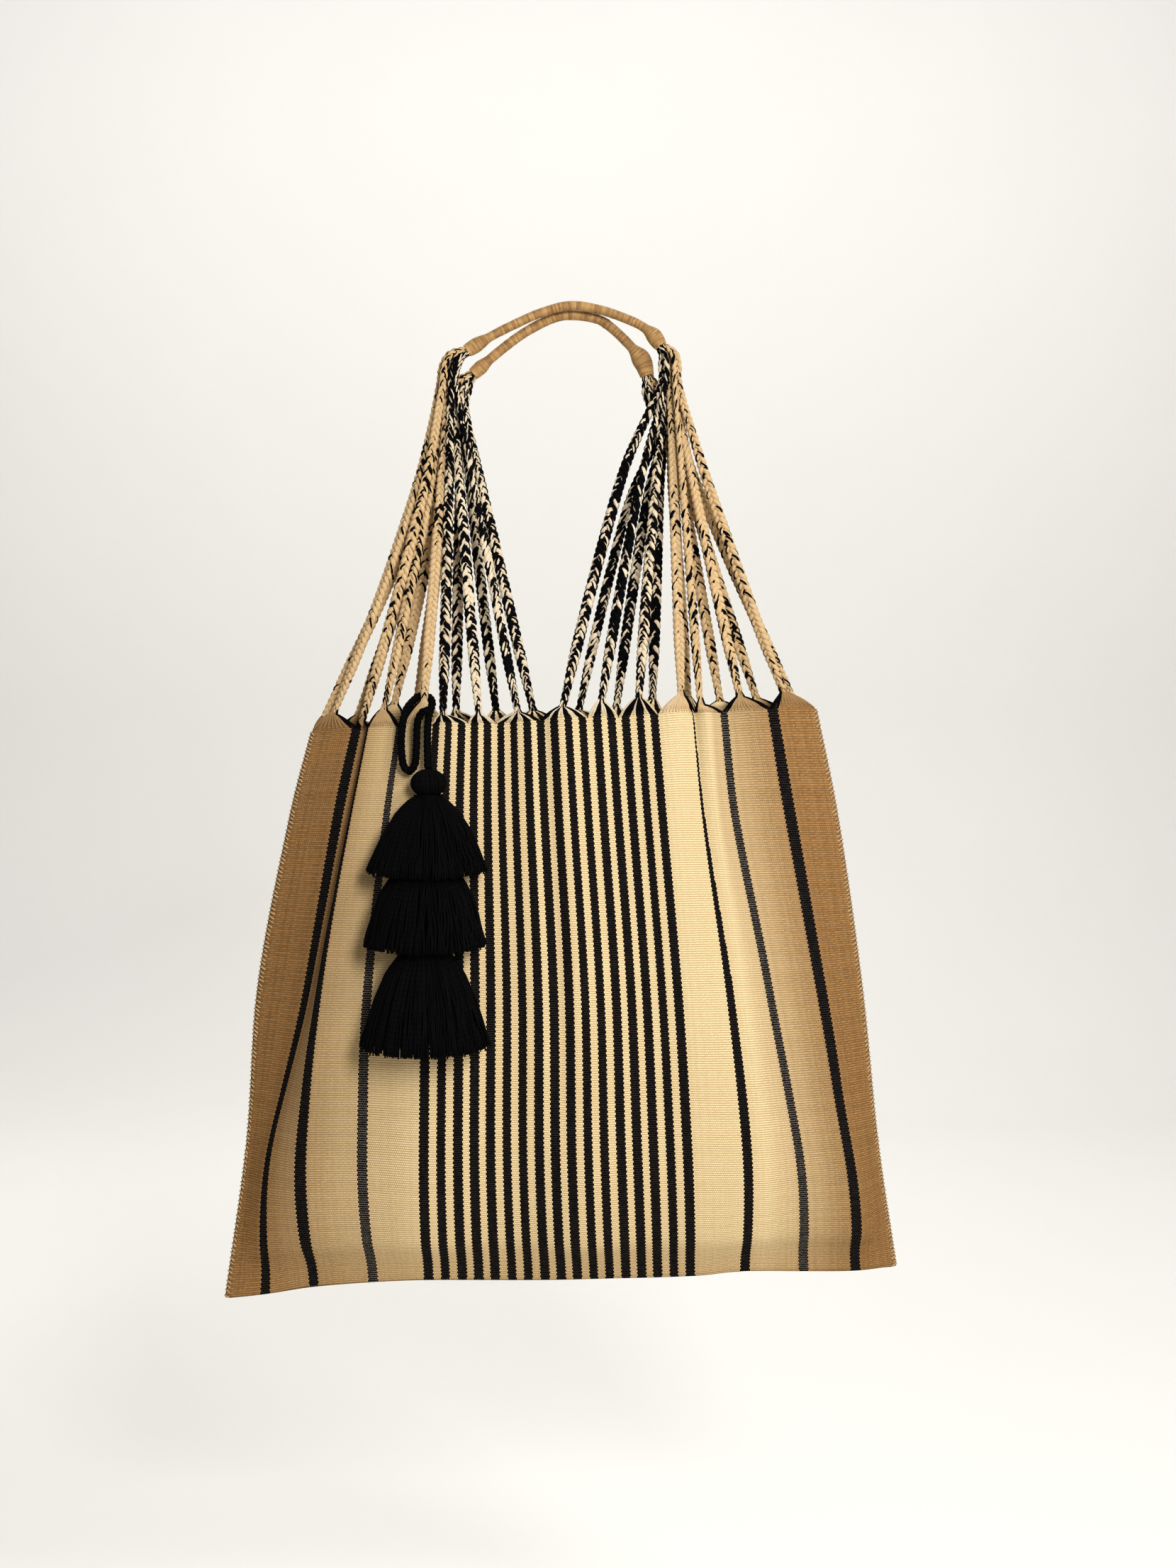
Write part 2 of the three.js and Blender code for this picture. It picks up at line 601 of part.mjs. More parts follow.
SKIRTS.forEach((skirt) => tassel.add(mesh(skirt.name, skirtGeometry(skirt), BLACK_YARN)));
bag.add(tassel);

export default bag;
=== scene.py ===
"""A hand-woven cotton bag dressed around its packed solids: striped cloth, plaits, handles and a tassel."""
import math

import bpy
import numpy as np
from bpy.props import FloatProperty, FloatVectorProperty, IntProperty, PointerProperty
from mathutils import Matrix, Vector


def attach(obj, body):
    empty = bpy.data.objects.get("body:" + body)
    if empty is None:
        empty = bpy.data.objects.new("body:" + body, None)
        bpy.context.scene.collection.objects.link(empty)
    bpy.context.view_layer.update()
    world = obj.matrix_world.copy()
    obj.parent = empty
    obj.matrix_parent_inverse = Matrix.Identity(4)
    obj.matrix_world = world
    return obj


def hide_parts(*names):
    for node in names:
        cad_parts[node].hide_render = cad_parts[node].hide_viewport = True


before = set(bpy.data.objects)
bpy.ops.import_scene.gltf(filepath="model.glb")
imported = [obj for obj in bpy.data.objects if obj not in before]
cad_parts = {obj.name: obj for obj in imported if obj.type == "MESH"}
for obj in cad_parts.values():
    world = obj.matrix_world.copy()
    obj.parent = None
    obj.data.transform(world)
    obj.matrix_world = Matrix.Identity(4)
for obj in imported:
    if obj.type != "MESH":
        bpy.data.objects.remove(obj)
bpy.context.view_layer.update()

bl_info = {
    "name": "Woven Bag",
    "version": (1, 0, 0),
    "blender": (4, 5, 0),
    "location": "3D View > Sidebar > Woven Bag",
    "description": "Builds a striped hand-woven bag with plaits, wound handles and a tassel",
    "category": "Object",
}

MM = 0.001  # the tables below are in millimetres, and pieces are made in metres
FULL_TURN = 2 * np.pi
BODY = "root"
PANELS = ("front", "back")
FACING = {"front": -1.0, "back": 1.0}
UP = np.array([0.0, 0.0, 1.0])
DEEP = np.array([0.0, 1.0, 0.0])
SPLINE_STEPS = 24  # samples between two points of a route

# Cloth: the lines that run up each panel. flat is the distance from the middle of the cloth laid flat.
HALF_FLAT = 211.5
SEAM_HALF = 1.8
SEAM_ROUND = 0.99
SEAM_WIDTH = 2.4
CLOTH_HEIGHT = 362.0
LEVEL_SHARE = np.array([0.0, 0.25, 0.52, 0.83, 1.0])
LEVEL_Z = {"lower": -521.0, "middle": -423.0, "upper": -314.0, "rim": -254.0}
RIM_SLOPE = 0.045
LINE_COLUMNS = (
    "flat", "rimX", "rimY", "upperX", "upperY", "middleX", "middleY",
    "lowerX", "lowerY", "footX", "footZ",
)
LINES = {
    "front": (
        (-211.5, -157, -1.8, -170.5, -1.8, -191, -1.8, -198, -1.8, -211.5, -619.7),
        (-187, -128, -9, -138.5, -15, -156.5, -19, -179.5, -13, -187, -617.5),
        (-165.7, -110.5, -11, -120.5, -18, -149.5, -27, -167, -20, -166, -613.5),
        (-155, -119.5, -18, -129, -27, -147, -38, -157.5, -27, -156, -612),
        (-117.5, -100, -18, -106.5, -30, -116.5, -44, -120.5, -33, -118, -609.5),
        (-86, -79, -17, -81, -31, -83, -46, -85, -36, -86, -608),
        (0, -12, -16, -9, -31, -3, -47, -2, -37, 1, -608),
        (86, 61.5, -16, 66, -30, 75, -46, 81.5, -36, 85.5, -606),
        (117.5, 85, -11, 90, -25, 104, -42, 115, -33, 117, -602.6),
        (130, 92.5, -16.5, 98, -28, 113.5, -42.5, 127, -33, 129.5, -602.8),
        (155, 103, -14, 109.5, -24, 130, -37, 147.5, -28, 154.5, -603),
        (187, 133.5, -13, 143.5, -17, 162.5, -22, 178.5, -16, 187.6, -602.6),
        (211.5, 162, -1.8, 175.5, -1.8, 191, -1.8, 201, -1.8, 212.5, -599.6),
    ),
    "back": (
        (-211.5, -157, 1.8, -170.5, 1.8, -191, 1.8, -198, 1.8, -211.5, -619.7),
        (-117.5, -97, 8.2, -105, 9, -113, 12, -117, 10, -118, -609.5),
        (0, -2, 9.2, -2, 10, -1, 13, 0, 11, 1, -608),
        (117.5, 90, 8.2, 97, 9, 109, 12, 115, 10, 117, -602.6),
        (211.5, 162, 1.8, 175.5, 1.8, 191, 1.8, 201, 1.8, 212.5, -599.6),
    ),
}
CLOTH_ROWS = 110
COLUMNS_PER_POINT = 12

# Folds of the cloth. rises are the shares of the height between which a fold grows.
GATHERS = {"level": 0.5, "reach": 26.0}
LONG_FOLDS = {"depth": 0.8, "length": 13.0, "phase": 0.7, "reach": 110.0}
WAVES = {"depth": 1.8, "length": 15.0, "phase": 0.5, "wander": 0.25, "wander_length": 60.0}
RIPPLES = {"depth": 0.35, "length": 17.0, "climb": 23.0}
CREASE = {"depth": 1.5, "starts": 116.0, "peak": 119.5, "ends": 136.0, "rises": (0.45, 0.9)}
VALLEY = {"depth": 2.6, "middle": 3.0, "width": 7.0, "rises": (0.2, 0.5)}
FOOT_SWELL = {"depth": 6.5, "wave": 1.2, "length": 26.0, "peak": 0.1, "ends": 0.36}
BACK_FOLDS = {"depth": 2.6, "length": 10.5, "phase": 0.0, "wander": 0.3, "wander_length": 60.0,
              "rises": (0.04, 0.4), "ends": 0.86}
STILL_EDGES = {"side": 22.0, "foot": 0.09}

# Rim points: where each begins on the flat cloth, and where its threads meet on each panel.
RIM_POINTS = (
    {"flat": -211.5, "front": (-143, -250.5), "back": (-150, -252)},
    {"flat": -187, "front": (-124.4, -255), "back": (-129, -251)},
    {"flat": -155, "front": (-109.5, -248.7), "back": (-106, -243.6)},
    {"flat": -117.5, "front": (-84.7, -243.4), "back": (-91.6, -240)},
    {"flat": -86, "front": (-72.9, -251.7), "back": (-66.7, -248.5)},
    {"flat": -57, "front": (-50.4, -251), "back": (-41, -247.6)},
    {"flat": -35, "front": (-26, -250), "back": (-17.3, -247.6)},
    {"flat": 0, "front": (2, -246.4), "back": (12, -247.2)},
    {"flat": 35, "front": (26, -243.3), "back": (36, -245)},
    {"flat": 57, "front": (49.5, -241), "back": (59, -240.4)},
    {"flat": 86, "front": (76.2, -239.2), "back": (81.8, -239)},
    {"flat": 117.5, "front": (88, -245), "back": (102.2, -241.8)},
    {"flat": 155, "front": (113, -240), "back": (125.2, -240)},
    {"flat": 187, "front": (141, -237.2), "back": (147.2, -238.3)},
)
POINT_EDGES = np.array([point["flat"] for point in RIM_POINTS] + [HALF_FLAT])
TIP_HALF_WIDTH = 1.9
TIP_HALF_DEPTH = 1.7
TIP_FLATS = np.array([-0.5, 0.0, 0.5])  # a small patch of the rim that gives the depth of a tip
TIP_SHARES = np.array([0.996, 0.998, 1.0])
POINT_RISES = np.array([0.18, 0.36, 0.53, 0.69, 0.82, 0.92, 0.975, 1.0])
POINT_LAY = 12.0
WOVEN_ENDS = (0.55, 0.9)  # the rises in a point between which the weave gives way to free threads
ARCH_REACH = 0.985
ARCH_SLOPE = 1.12  # 1 would make the sides of a point straight
ARCH_SHARE = 0.22  # how much of the round arch is left
RIM_THREADS = {"seed": 11, "from": 0.95, "bunch": 1.6, "steps": 14, "sunk": 0.2, "spacing": 2.4, "fewest": 7,
               "aside": 0.55, "into_plait": 2.0, "into_spread": 2.5, "golden": 0.75, "spread": (0.85, 1.15),
               "rises": (0.0, 0.5, 1.0), "radii": (0.35, 0.95, 0.85), "end_radius": 0.7, "sides": 6}
JUST_UNDER = 0.999  # keeps the last thread inside the last column

# Stripes, from the middle of the flat cloth.
FINE_STRIPES_END = 88.2
SIDE_STRIPES = (117.5, 155.0, 187.0)
OPEN_STRIPES = (-117.5, 155.0)  # these show more of the weft
TUCK = {"edge": 121.0, "past": 1.0, "reach": 5.0, "from": 180.0}  # hides more of a stripe towards the rim
GOLDEN_AND_SHADE_LEFT = (80.0, 192.0)  # the cotton turns a deeper gold from the first to the second on each side: partly its own colour, partly painted shade towards the seams
GOLDEN_AND_SHADE_RIGHT = (130.0, 192.0)
# painted shade at the foot: the height over which the cloth darkens, and how much
PAINTED_FOOT_SHADE = {"height": 34.0, "share": 0.5}
STITCH = {"seed": 83, "stray": 0.08, "lean": (0.5, 0.8), "deep": (1.5, 2.3), "half_in": 0.55, "edge_in": 0.4,
          "out": 1.25, "step": 0.9, "radius": 0.5, "spread": (0.8, 1.15), "sides": 6}
STITCH_LEANS = np.array([0.8, 0.4, 0.0])
STITCH_STANDS = np.array([-0.2, 0.5, 0.65])

# Plaits: seven to a bundle, by their place in it (across, deep), and the middle line of each bundle.
# A slack plait bows on its way from the rim to the bundle's neck: 1 is straight.
BUNDLE_PITCH = 5.0
HEX_ROW = math.sqrt(3) / 2
BUNDLE_PLACES = (
    (-1, 0), (-0.5, -HEX_ROW), (-0.5, HEX_ROW), (0, 0), (0.5, -HEX_ROW), (0.5, HEX_ROW), (1, 0),
)
FAN_SHARES = (0.25, 0.5, 0.75)
BUNDLE_BOWS = ((1.3, 1.05), (0.75, 1.13))
BUNDLE_ROUTES = {
    "front": (
        ((-70.5, -7, -41), (-69.6, -6.8, -33), (-67.2, -6.4, -27.6), (-63.4, -6, -23.7),
         (-58.9, -5.6, -21.1)),
        ((69.5, -7, -40), (69.5, -6.6, -31.5), (67.8, -6.1, -23.2), (63.7, -5.6, -17.9)),
    ),
    "back": (
        ((-65.8, 7, -51), (-64.6, 6.8, -45.4), (-62.4, 6.4, -40.4), (-59.4, 6, -36.2),
         (-55.4, 5.6, -32.7)),
        ((68, 7, -62), (61.6, 6.8, -50.2), (57.7, 6.1, -40.4), (55.7, 5.6, -34)),
    ),
}
PLAIT = {"seed": 29, "step": 0.8, "strands": 3, "sides": 6, "roll": 0.9, "roll_change": 1.2, "samples": 60,
         "rim": 0.66, "full_from": 40.0, "neck": 0.7, "neck_before": 110.0, "neck_after": 5.0}
BLACK_SHARES = (0.95, 1.14)  # black in the left and the right plaits, against that of their rim points
BLACK_SPREAD = (0.8, 1.38)
MOST_BLACK = 0.8
WARM_YARN = (60.0, 110.0)  # the yarn turns warm between these distances from the middle

# Where the plaits go into a handle: the length in which they draw together and thin, and how deep they go in.
NECK = {"length": 13.0, "draw": 0.55, "thin": 0.68, "thin_at": 2.0}
NECK_DEPTHS = np.array([0.8, 1.6, 2.4])

# Handles: a wound shaft along a route, thicker near each end.
HANDLES = {
    "front": {
        "radius": 3.0,
        "route": ((-58.3, -5.5, -20.7), (-43.5, -5, -11.6), (-30.5, -4.5, -4.8), (-12.3, -4, 3.4),
                  (6, -4, 8.1), (24.2, -4, 5.8), (42.5, -4.6, -0.6), (51.7, -5, -5.1),
                  (59, -5.3, -11), (63.4, -5.5, -17.4)),
        "ends": ({"end": 4.3, "bulge": 4.7, "at": 6.0, "length": 17.0},
                 {"end": 4.4, "bulge": 5.2, "at": 7.0, "length": 15.0}),
    },
    "back": {
        "radius": 3.2,
        "route": ((-55, 5.6, -32.3), (-39.8, 4.6, -19.3), (-21.6, 3.5, -6.2), (-3.2, 3, 2.7),
                  (6, 3, 4.2), (24.3, 3.2, 1.6), (33.5, 3.6, -4.4), (47.3, 4.6, -17.8),
                  (52.8, 5.2, -25.2), (55.4, 5.6, -33.2)),
        "ends": ({"end": 4.2, "bulge": 4.6, "at": 5.0, "length": 14.0},
                 {"end": 4.6, "bulge": 6.2, "at": 11.0, "length": 21.0}),
    },
}
WINDING = {"seed": 41, "steps": 20.0, "sides": 5, "wander": 0.05, "wander_places": 60, "pace": (0.86, 1.14),
           "pace_places": 90, "core_every": 12, "core_sides": 16, "swirl_steps": 90, "swirl_hole": 0.2,
           "swirl_rise": 0.9}

# Tassel: the route of its cord, its head, and its three skirts (half widths and heights).
LOOP_RADIUS = 2.05
LOOP_ROUTE = (
    (-79.9, -37.6, -284.9), (-80.7, -32.6, -274.2), (-81.2, -27.6, -261), (-80.6, -23.4, -251.2),
    (-79.3, -17.6, -243.8), (-82.7, -11.1, -239.4), (-87.1, -11.1, -239), (-91.3, -17, -242.5),
    (-95.2, -23, -249), (-97.3, -25.6, -260.9), (-97.2, -28.6, -274.2), (-95.2, -30.8, -283.8),
    (-92, -31.4, -286.4), (-89, -30.8, -282.9), (-88, -28.6, -272), (-87.8, -27, -261),
    (-86.9, -26.4, -254), (-84.4, -27.8, -250), (-80.4, -28.6, -248.6),
)
CORD = {"step": 0.9, "plies": 3, "ply": 0.7, "ring": 0.55, "twist": 9.5, "sides": 7,
        "tone": 0.1, "tone_step": 0.3}
HEAD_CENTRE = np.array([-79.5, -39.0, -293.8])
HEAD_RADII = np.array([10.9, 9.6, 8.6])
HEAD = {"seed": 53, "strand": 0.85, "strands": 66, "steps": 14, "polar": (4.0, 158.0), "lean": 0.25,
        "stray": 0.03, "stray_down": 0.01, "sunk": 0.8, "sides": 6,
        "core_sunk": 1.2, "core_pole": 0.02, "core_sides": 20, "core_tone": (1.0, 0.5, 0.0)}
TIE = {"turns": 4.0, "steps": 120, "width": 8.6, "depth": 7.6, "below": 7.2, "pitch": 0.75, "radius": 0.62,
       "sides": 6, "tone": (1.0, 0.3, 0.0)}
SKIRTS = {
    "top": {"neck": -302.0, "top": (-79.5, -40.5, -304.5), "width": 12.0,
            "hem": (-78.8, -53.0, -346.1), "hem_width": 36.7},
    "middle": {"neck": -341.0, "top": (-79.2, -55.5, -353.6), "width": 23.8,
               "hem": (-79.1, -62.0, -390.0), "hem_width": 36.9},
    "bottom": {"neck": -385.5, "top": (-78.9, -64.0, -397.4), "width": 16.7,
               "hem": (-78.9, -65.0, -448.7), "hem_width": 38.8},
}
SKIRT_DOWN = np.array([0.0, 0.17, 0.45, 0.7, 1.0])
SKIRT_SPREAD = np.array([0.0, 0.3, 0.6, 0.78, 1.0])
SKIRT_FRONT_SHARE = 0.56
SKIRT_BACK_SHARE = 0.22
SKIRT_YARN = {"seed": 67, "steps": 11, "sides": 5, "inmost": 0.16, "outer": 0.93, "turn": 0.618034,
              "stray": 0.02, "ragged": 0.013, "front_longer": 0.1, "longest": 1.2, "drift": 0.05,
              "wave": 0.02, "bends": (3.0, 9.0), "bend_start": 6.3, "neck": 0.35, "shoulder": 0.62,
              "shoulder_drop": 0.3, "spread": (0.9, 1.12), "tip": 0.8}

# Finishes: pitches and lengths in millimetres, noise scales in patches to the metre, bump in metres.
CHANCE = {"thread": 3.0, "row": 5.0, "speck": 17.0, "run": 5.0, "wool": 2.0, "strand": 977.0}
WEAVE = {"round": 0.6, "relief": 0.45, "thread_tone": 0.45, "float_tone": 0.35, "row_tone": 0.2, "warm": 0.8,
         "mottle": 9.0, "mottle_share": 0.5, "gap": 0.72, "speck_round": 1.5, "speck_spread": 0.5,
         "speck_least": 0.25, "speck": 0.45, "open_speck": 1.7, "bump": 0.00045, "bump_strength": 0.8}
PLAIT_YARN = {"twist": 64.0, "lanes": 7.0, "lane_length": 34.0, "lane_stagger": 0.37, "strand_stagger": 31.0,
              "threads": 18.0, "wander": 0.8, "wander_scale": 900.0, "painted_groove_shade": 0.62, "thread_tone": 0.2,
              "mottle": 40.0, "mottle_share": 0.2, "bump": 0.00022, "bump_strength": 0.7}
WOUND_YARN = {"run": 23.0, "run_tone": 0.5, "patch": 260.0, "patch_tone": 0.7, "fibres": 5.0,
              "fibre_pitch": 1.7, "painted_fibre_shading": 0.35, "light": 0.2, "rough": 0.42, "rough_spread": 0.2,
              "bump": 0.00012, "bump_strength": 0.6}
WOOL = {"fibres": 4.0, "fibre_pitch": 3.1, "painted_fibre_shading": 0.25, "strand_tone": 0.4, "mottle": 120.0,
        "mottle_tone": 0.35, "dark": 0.2, "bump": 0.0002, "bump_strength": 0.7}
FLOOR_PAINT = {"mottle": 3.0, "shade": 0.97}

# The numbers of a Mix node's sockets for colours.
MIX_SHARE, MIX_FIRST, MIX_SECOND, MIX_RESULT = 0, 6, 7, 2

# Camera and stage, in metres.
CAMERA_PLACE = (0.0178, -1.0, -0.2943)
CAMERA_LENS = 36.17
CAMERA_SENSOR = 36.0
SWEEP = {"front": -4.0, "wall": 2.6, "radius": 0.8, "bend_steps": 17, "height": 3.6, "half_width": 4.5}
BAG_MIDDLE = (0.0, 0.0, -0.35)
LIGHTS = {
    "key_light": {"power": "key", "place": (0.42, -1.3, 0.1), "aim": BAG_MIDDLE, "size": (0.3, 0.5)},
    "fill_light": {"power": "fill", "place": (1.0, -1.0, 0.8), "aim": BAG_MIDDLE, "size": (0.4, 0.4)},
    "sweep_light": {"power": "sweep", "place": (0.0, 0.9, 1.9), "aim": (0.0, 2.5, -0.7), "size": (4.0, 1.0)},
    "back_light": {"power": "behind", "place": (-0.7, 1.7, 0.7), "aim": BAG_MIDDLE, "size": (0.8, 0.8)},
}
SKY_COLOUR = (0.93, 0.93, 0.95, 1.0)


def unit(vectors):
    """Vectors at length one."""
    return vectors / np.linalg.norm(vectors, axis=-1, keepdims=True)


def dot(a, b):
    """Products of vectors, kept as a last axis of one."""
    return np.sum(a * b, axis=-1, keepdims=True)


def blend_between(a, b, share):
    """A value between a and b."""
    return a + (b - a) * share


def ease(low, high, value):
    """Rises smoothly from 0 at low to 1 at high."""
    s = np.clip((np.asarray(value, float) - low) / (high - low), 0.0, 1.0)
    return s * s * (3.0 - 2.0 * s)


def around(side, other, angle):
    """Directions at angles round a line, from two directions across it."""
    return side * np.cos(angle)[..., None] + other * np.sin(angle)[..., None]


def curve_between(start, start_slope, end, end_slope, s):
    """Points at shares s of a smooth curve from start to end."""
    s2 = s * s
    s3 = s2 * s
    near = start * (2 * s3 - 3 * s2 + 1) + start_slope * (s3 - 2 * s2 + s)
    return near + end * (3 * s2 - 2 * s3) + end_slope * (s3 - s2)


def smooth_at(places, points, at):
    """Points at given places on a smooth curve through points at rising places."""
    last = len(places) - 1
    order = np.arange(last + 1)
    before = np.maximum(order - 1, 0)
    after = np.minimum(order + 1, last)
    wide = (-1,) + (1,) * (points.ndim - 1)
    slope = (points[after] - points[before]) / (places[after] - places[before]).reshape(wide)
    i = np.clip(np.searchsorted(places, at, side="right") - 1, 0, last - 1)
    span = (places[i + 1] - places[i]).reshape(wide)
    s = (at - places[i]).reshape(wide) / span
    return curve_between(points[i], slope[i] * span, points[i + 1], slope[i + 1] * span, s)


def smooth_route(points, step):
    """A centripetal spline through points, sampled at about an even step."""
    points = np.asarray(points, float)
    before = 2 * points[:1] - points[1:2]
    after = 2 * points[-1:] - points[-2:-1]
    padded = np.concatenate([before, points, after])
    gaps = np.sqrt(np.linalg.norm(np.diff(padded, axis=0), axis=1))
    s = np.linspace(0.0, 1.0, SPLINE_STEPS, endpoint=False)[:, None]
    pieces = []
    for i in range(len(points) - 1):
        p0, p1, p2, p3 = padded[i:i + 4]
        d0, d1, d2 = gaps[i:i + 3]
        m1 = ((p1 - p0) / d0 - (p2 - p0) / (d0 + d1) + (p2 - p1) / d1) * d1
        m2 = ((p2 - p1) / d1 - (p3 - p1) / (d1 + d2) + (p3 - p2) / d2) * d1
        pieces.append(curve_between(p1, m1, p2, m2, s))
    fine = np.concatenate(pieces + [points[-1:]])
    along = lengths_along(fine)
    count = max(int(round(along[-1] / step)), 2)
    places = np.linspace(0.0, along[-1], count + 1)
    return np.stack([np.interp(places, along, fine[:, axis]) for axis in range(3)], axis=1)


def lengths_along(path):
    """The distance along a path to each of its points."""
    steps = np.linalg.norm(np.diff(path, axis=-2), axis=-1)
    start = np.zeros(steps.shape[:-1] + (1,))
    return np.concatenate([start, np.cumsum(steps, axis=-1)], axis=-1)


def spread_along(places, values):
    """Values given at even distances, read at each place along a path."""
    return np.interp(places, np.linspace(0.0, places[-1], len(values)), values)


def steady_frames(path):
    """Directions along a path and across it that turn as little as they can."""
    along = unit(np.gradient(path, axis=0))
    side = np.zeros_like(along)
    start = DEEP - along[0] * along[0].dot(DEEP)
    side[0] = start / np.linalg.norm(start)
    for i in range(1, len(path)):
        turned = side[i - 1] - along[i] * along[i].dot(side[i - 1])
        side[i] = turned / np.linalg.norm(turned)
    return along, side, np.cross(along, side)


def grid_faces(index, turned=False):
    """Four-sided faces between the rows of a grid of vertex numbers."""
    corners = [index[:-1, :-1], index[:-1, 1:], index[1:, 1:], index[1:, :-1]]
    if turned:
        corners.reverse()
    return np.stack(corners, axis=-1).reshape(-1, 4)


def add_object(name, data):
    """Adds an object to the scene."""
    made = bpy.data.objects.new(name, data)
    bpy.context.scene.collection.objects.link(made)
    return made


class Pile:
    """Vertices and faces of one piece. lay is a place on the cloth or yarn, kept at each face corner."""

    def __init__(self):
        self.points = []
        self.tones = []
        self.faces = []
        self.lays = []
        self.count = 0

    def add(self, points, tones, faces, lays):
        """Adds vertices with their tones, and blocks of faces with the lay of each corner."""
        points = np.asarray(points, float).reshape(-1, 3)
        self.points.append(points)
        self.tones.append(np.asarray(tones, float).reshape(-1, 3))
        self.faces.extend(block + self.count for block in faces)
        self.lays.extend(lays)
        self.count += len(points)

    def tubes(self, paths, radii, sides, tones, across):
        """Adds closed tubes along paths of equal length. across gives the side where each ring begins."""
        paths = np.asarray(paths, float)
        many, steps, _ = paths.shape
        along = unit(np.gradient(paths, axis=1))
        across = np.broadcast_to(across, paths.shape)
        side = unit(across - dot(across, along) * along)
        other = np.cross(along, side)
        ring = around(side[:, :, None, :], other[:, :, None, :], FULL_TURN * np.arange(sides) / sides)
        radii = np.broadcast_to(radii, (many, steps))
        points = paths[:, :, None, :] + radii[:, :, None, None] * ring
        index = np.arange(many * steps * sides).reshape(many, steps, sides)
        after = np.roll(index, -1, axis=2)
        quads = np.stack([index[:, :-1], after[:, :-1], after[:, 1:], index[:, 1:]], axis=-1)
        places = lengths_along(paths)
        u = np.arange(sides + 1) / sides
        lay = np.zeros(quads.shape + (2,))
        lay[..., 0, 0] = lay[..., 3, 0] = u[:-1]
        lay[..., 1, 0] = lay[..., 2, 0] = u[1:]
        lay[..., 0, 1] = lay[..., 1, 1] = places[:, :-1, None]
        lay[..., 2, 1] = lay[..., 3, 1] = places[:, 1:, None]
        caps = np.concatenate([index[:, 0, ::-1], index[:, -1, :]])
        cap_lay = np.zeros(caps.shape + (2,))
        cap_lay[..., 0] = u[:-1]
        tones = np.broadcast_to(np.asarray(tones, float)[..., None, None, :], (many, steps, sides, 3))
        self.add(points, tones, [quads.reshape(-1, 4), caps], [lay.reshape(-1, 4, 2), cap_lay])

    def piece(self, name, finish, slot):
        """Makes the mesh object, gives it its finish and lets it ride on the bag."""
        points = np.concatenate(self.points) * MM
        corners = np.concatenate([block.ravel() for block in self.faces])
        sizes = np.concatenate([np.full(len(block), block.shape[1]) for block in self.faces])
        lays = np.concatenate([block.reshape(-1, 2) for block in self.lays])
        mesh = bpy.data.meshes.new(name)
        mesh.vertices.add(len(points))
        mesh.vertices.foreach_set("co", points.ravel())
        mesh.loops.add(len(corners))
        mesh.loops.foreach_set("vertex_index", corners.astype(np.int32))
        mesh.polygons.add(len(sizes))
        mesh.polygons.foreach_set("loop_start", (np.cumsum(sizes) - sizes).astype(np.int32))
        mesh.update(calc_edges=True)
        mesh.uv_layers.new(name="lay").data.foreach_set("uv", lays.ravel())
        tones = mesh.attributes.new("tone", "FLOAT_VECTOR", "POINT")
        tones.data.foreach_set("vector", np.concatenate(self.tones).ravel())
        mesh.polygons.foreach_set("use_smooth", np.ones(len(sizes), bool))
        mesh.materials.append(finish)
        if mesh.validate(verbose=True):
            raise RuntimeError(f"{name} has faulty faces")
        made = add_object(name, mesh)
        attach(made, BODY)
        return made


def both_ways(operation):
    """An operator that makes a Math node, and its reflected form."""
    def plain(self, other):
        return self.math(operation, self, other)

    def reflected(self, other):
        return self.math(operation, other, self)

    return plain, reflected


class Value:
    """A shader socket that can be written in sums, such as 1 - mask."""

    def __init__(self, finish, socket):
        self.finish = finish
        self.socket = socket

    def math(self, operation, *terms):
        """A Math node on the given terms."""
        return self.finish.node("ShaderNodeMath", {"operation": operation}, dict(enumerate(terms)))

    __add__, __radd__ = both_ways("ADD")
    __sub__, __rsub__ = both_ways("SUBTRACT")
    __mul__, __rmul__ = both_ways("MULTIPLY")
    __truediv__, __rtruediv__ = both_ways("DIVIDE")
    __pow__, __rpow__ = both_ways("POWER")

    def __lt__(self, other):
        return self.math("LESS_THAN", self, other)

    def __gt__(self, other):
        return self.math("GREATER_THAN", self, other)

    def __abs__(self):
        return self.math("ABSOLUTE", self)

    def floor(self):
        """The whole number below."""
        return self.math("FLOOR", self)

    def fraction(self):
        """What is over the whole number below."""
        return self.math("FRACT", self)

    def arch(self):
        """Rises from 0 to 1 and back over each whole number."""
        return self.math("SINE", self.fraction() * math.pi)

    def at_most(self, other):
        """The smaller of two values."""
        return self.math("MINIMUM", self, other)

    def at_least(self, other):
        """The larger of two values."""
        return self.math("MAXIMUM", self, other)

    def limited(self):
        """The value kept between 0 and 1."""
        return self.at_most(1.0).at_least(0.0)


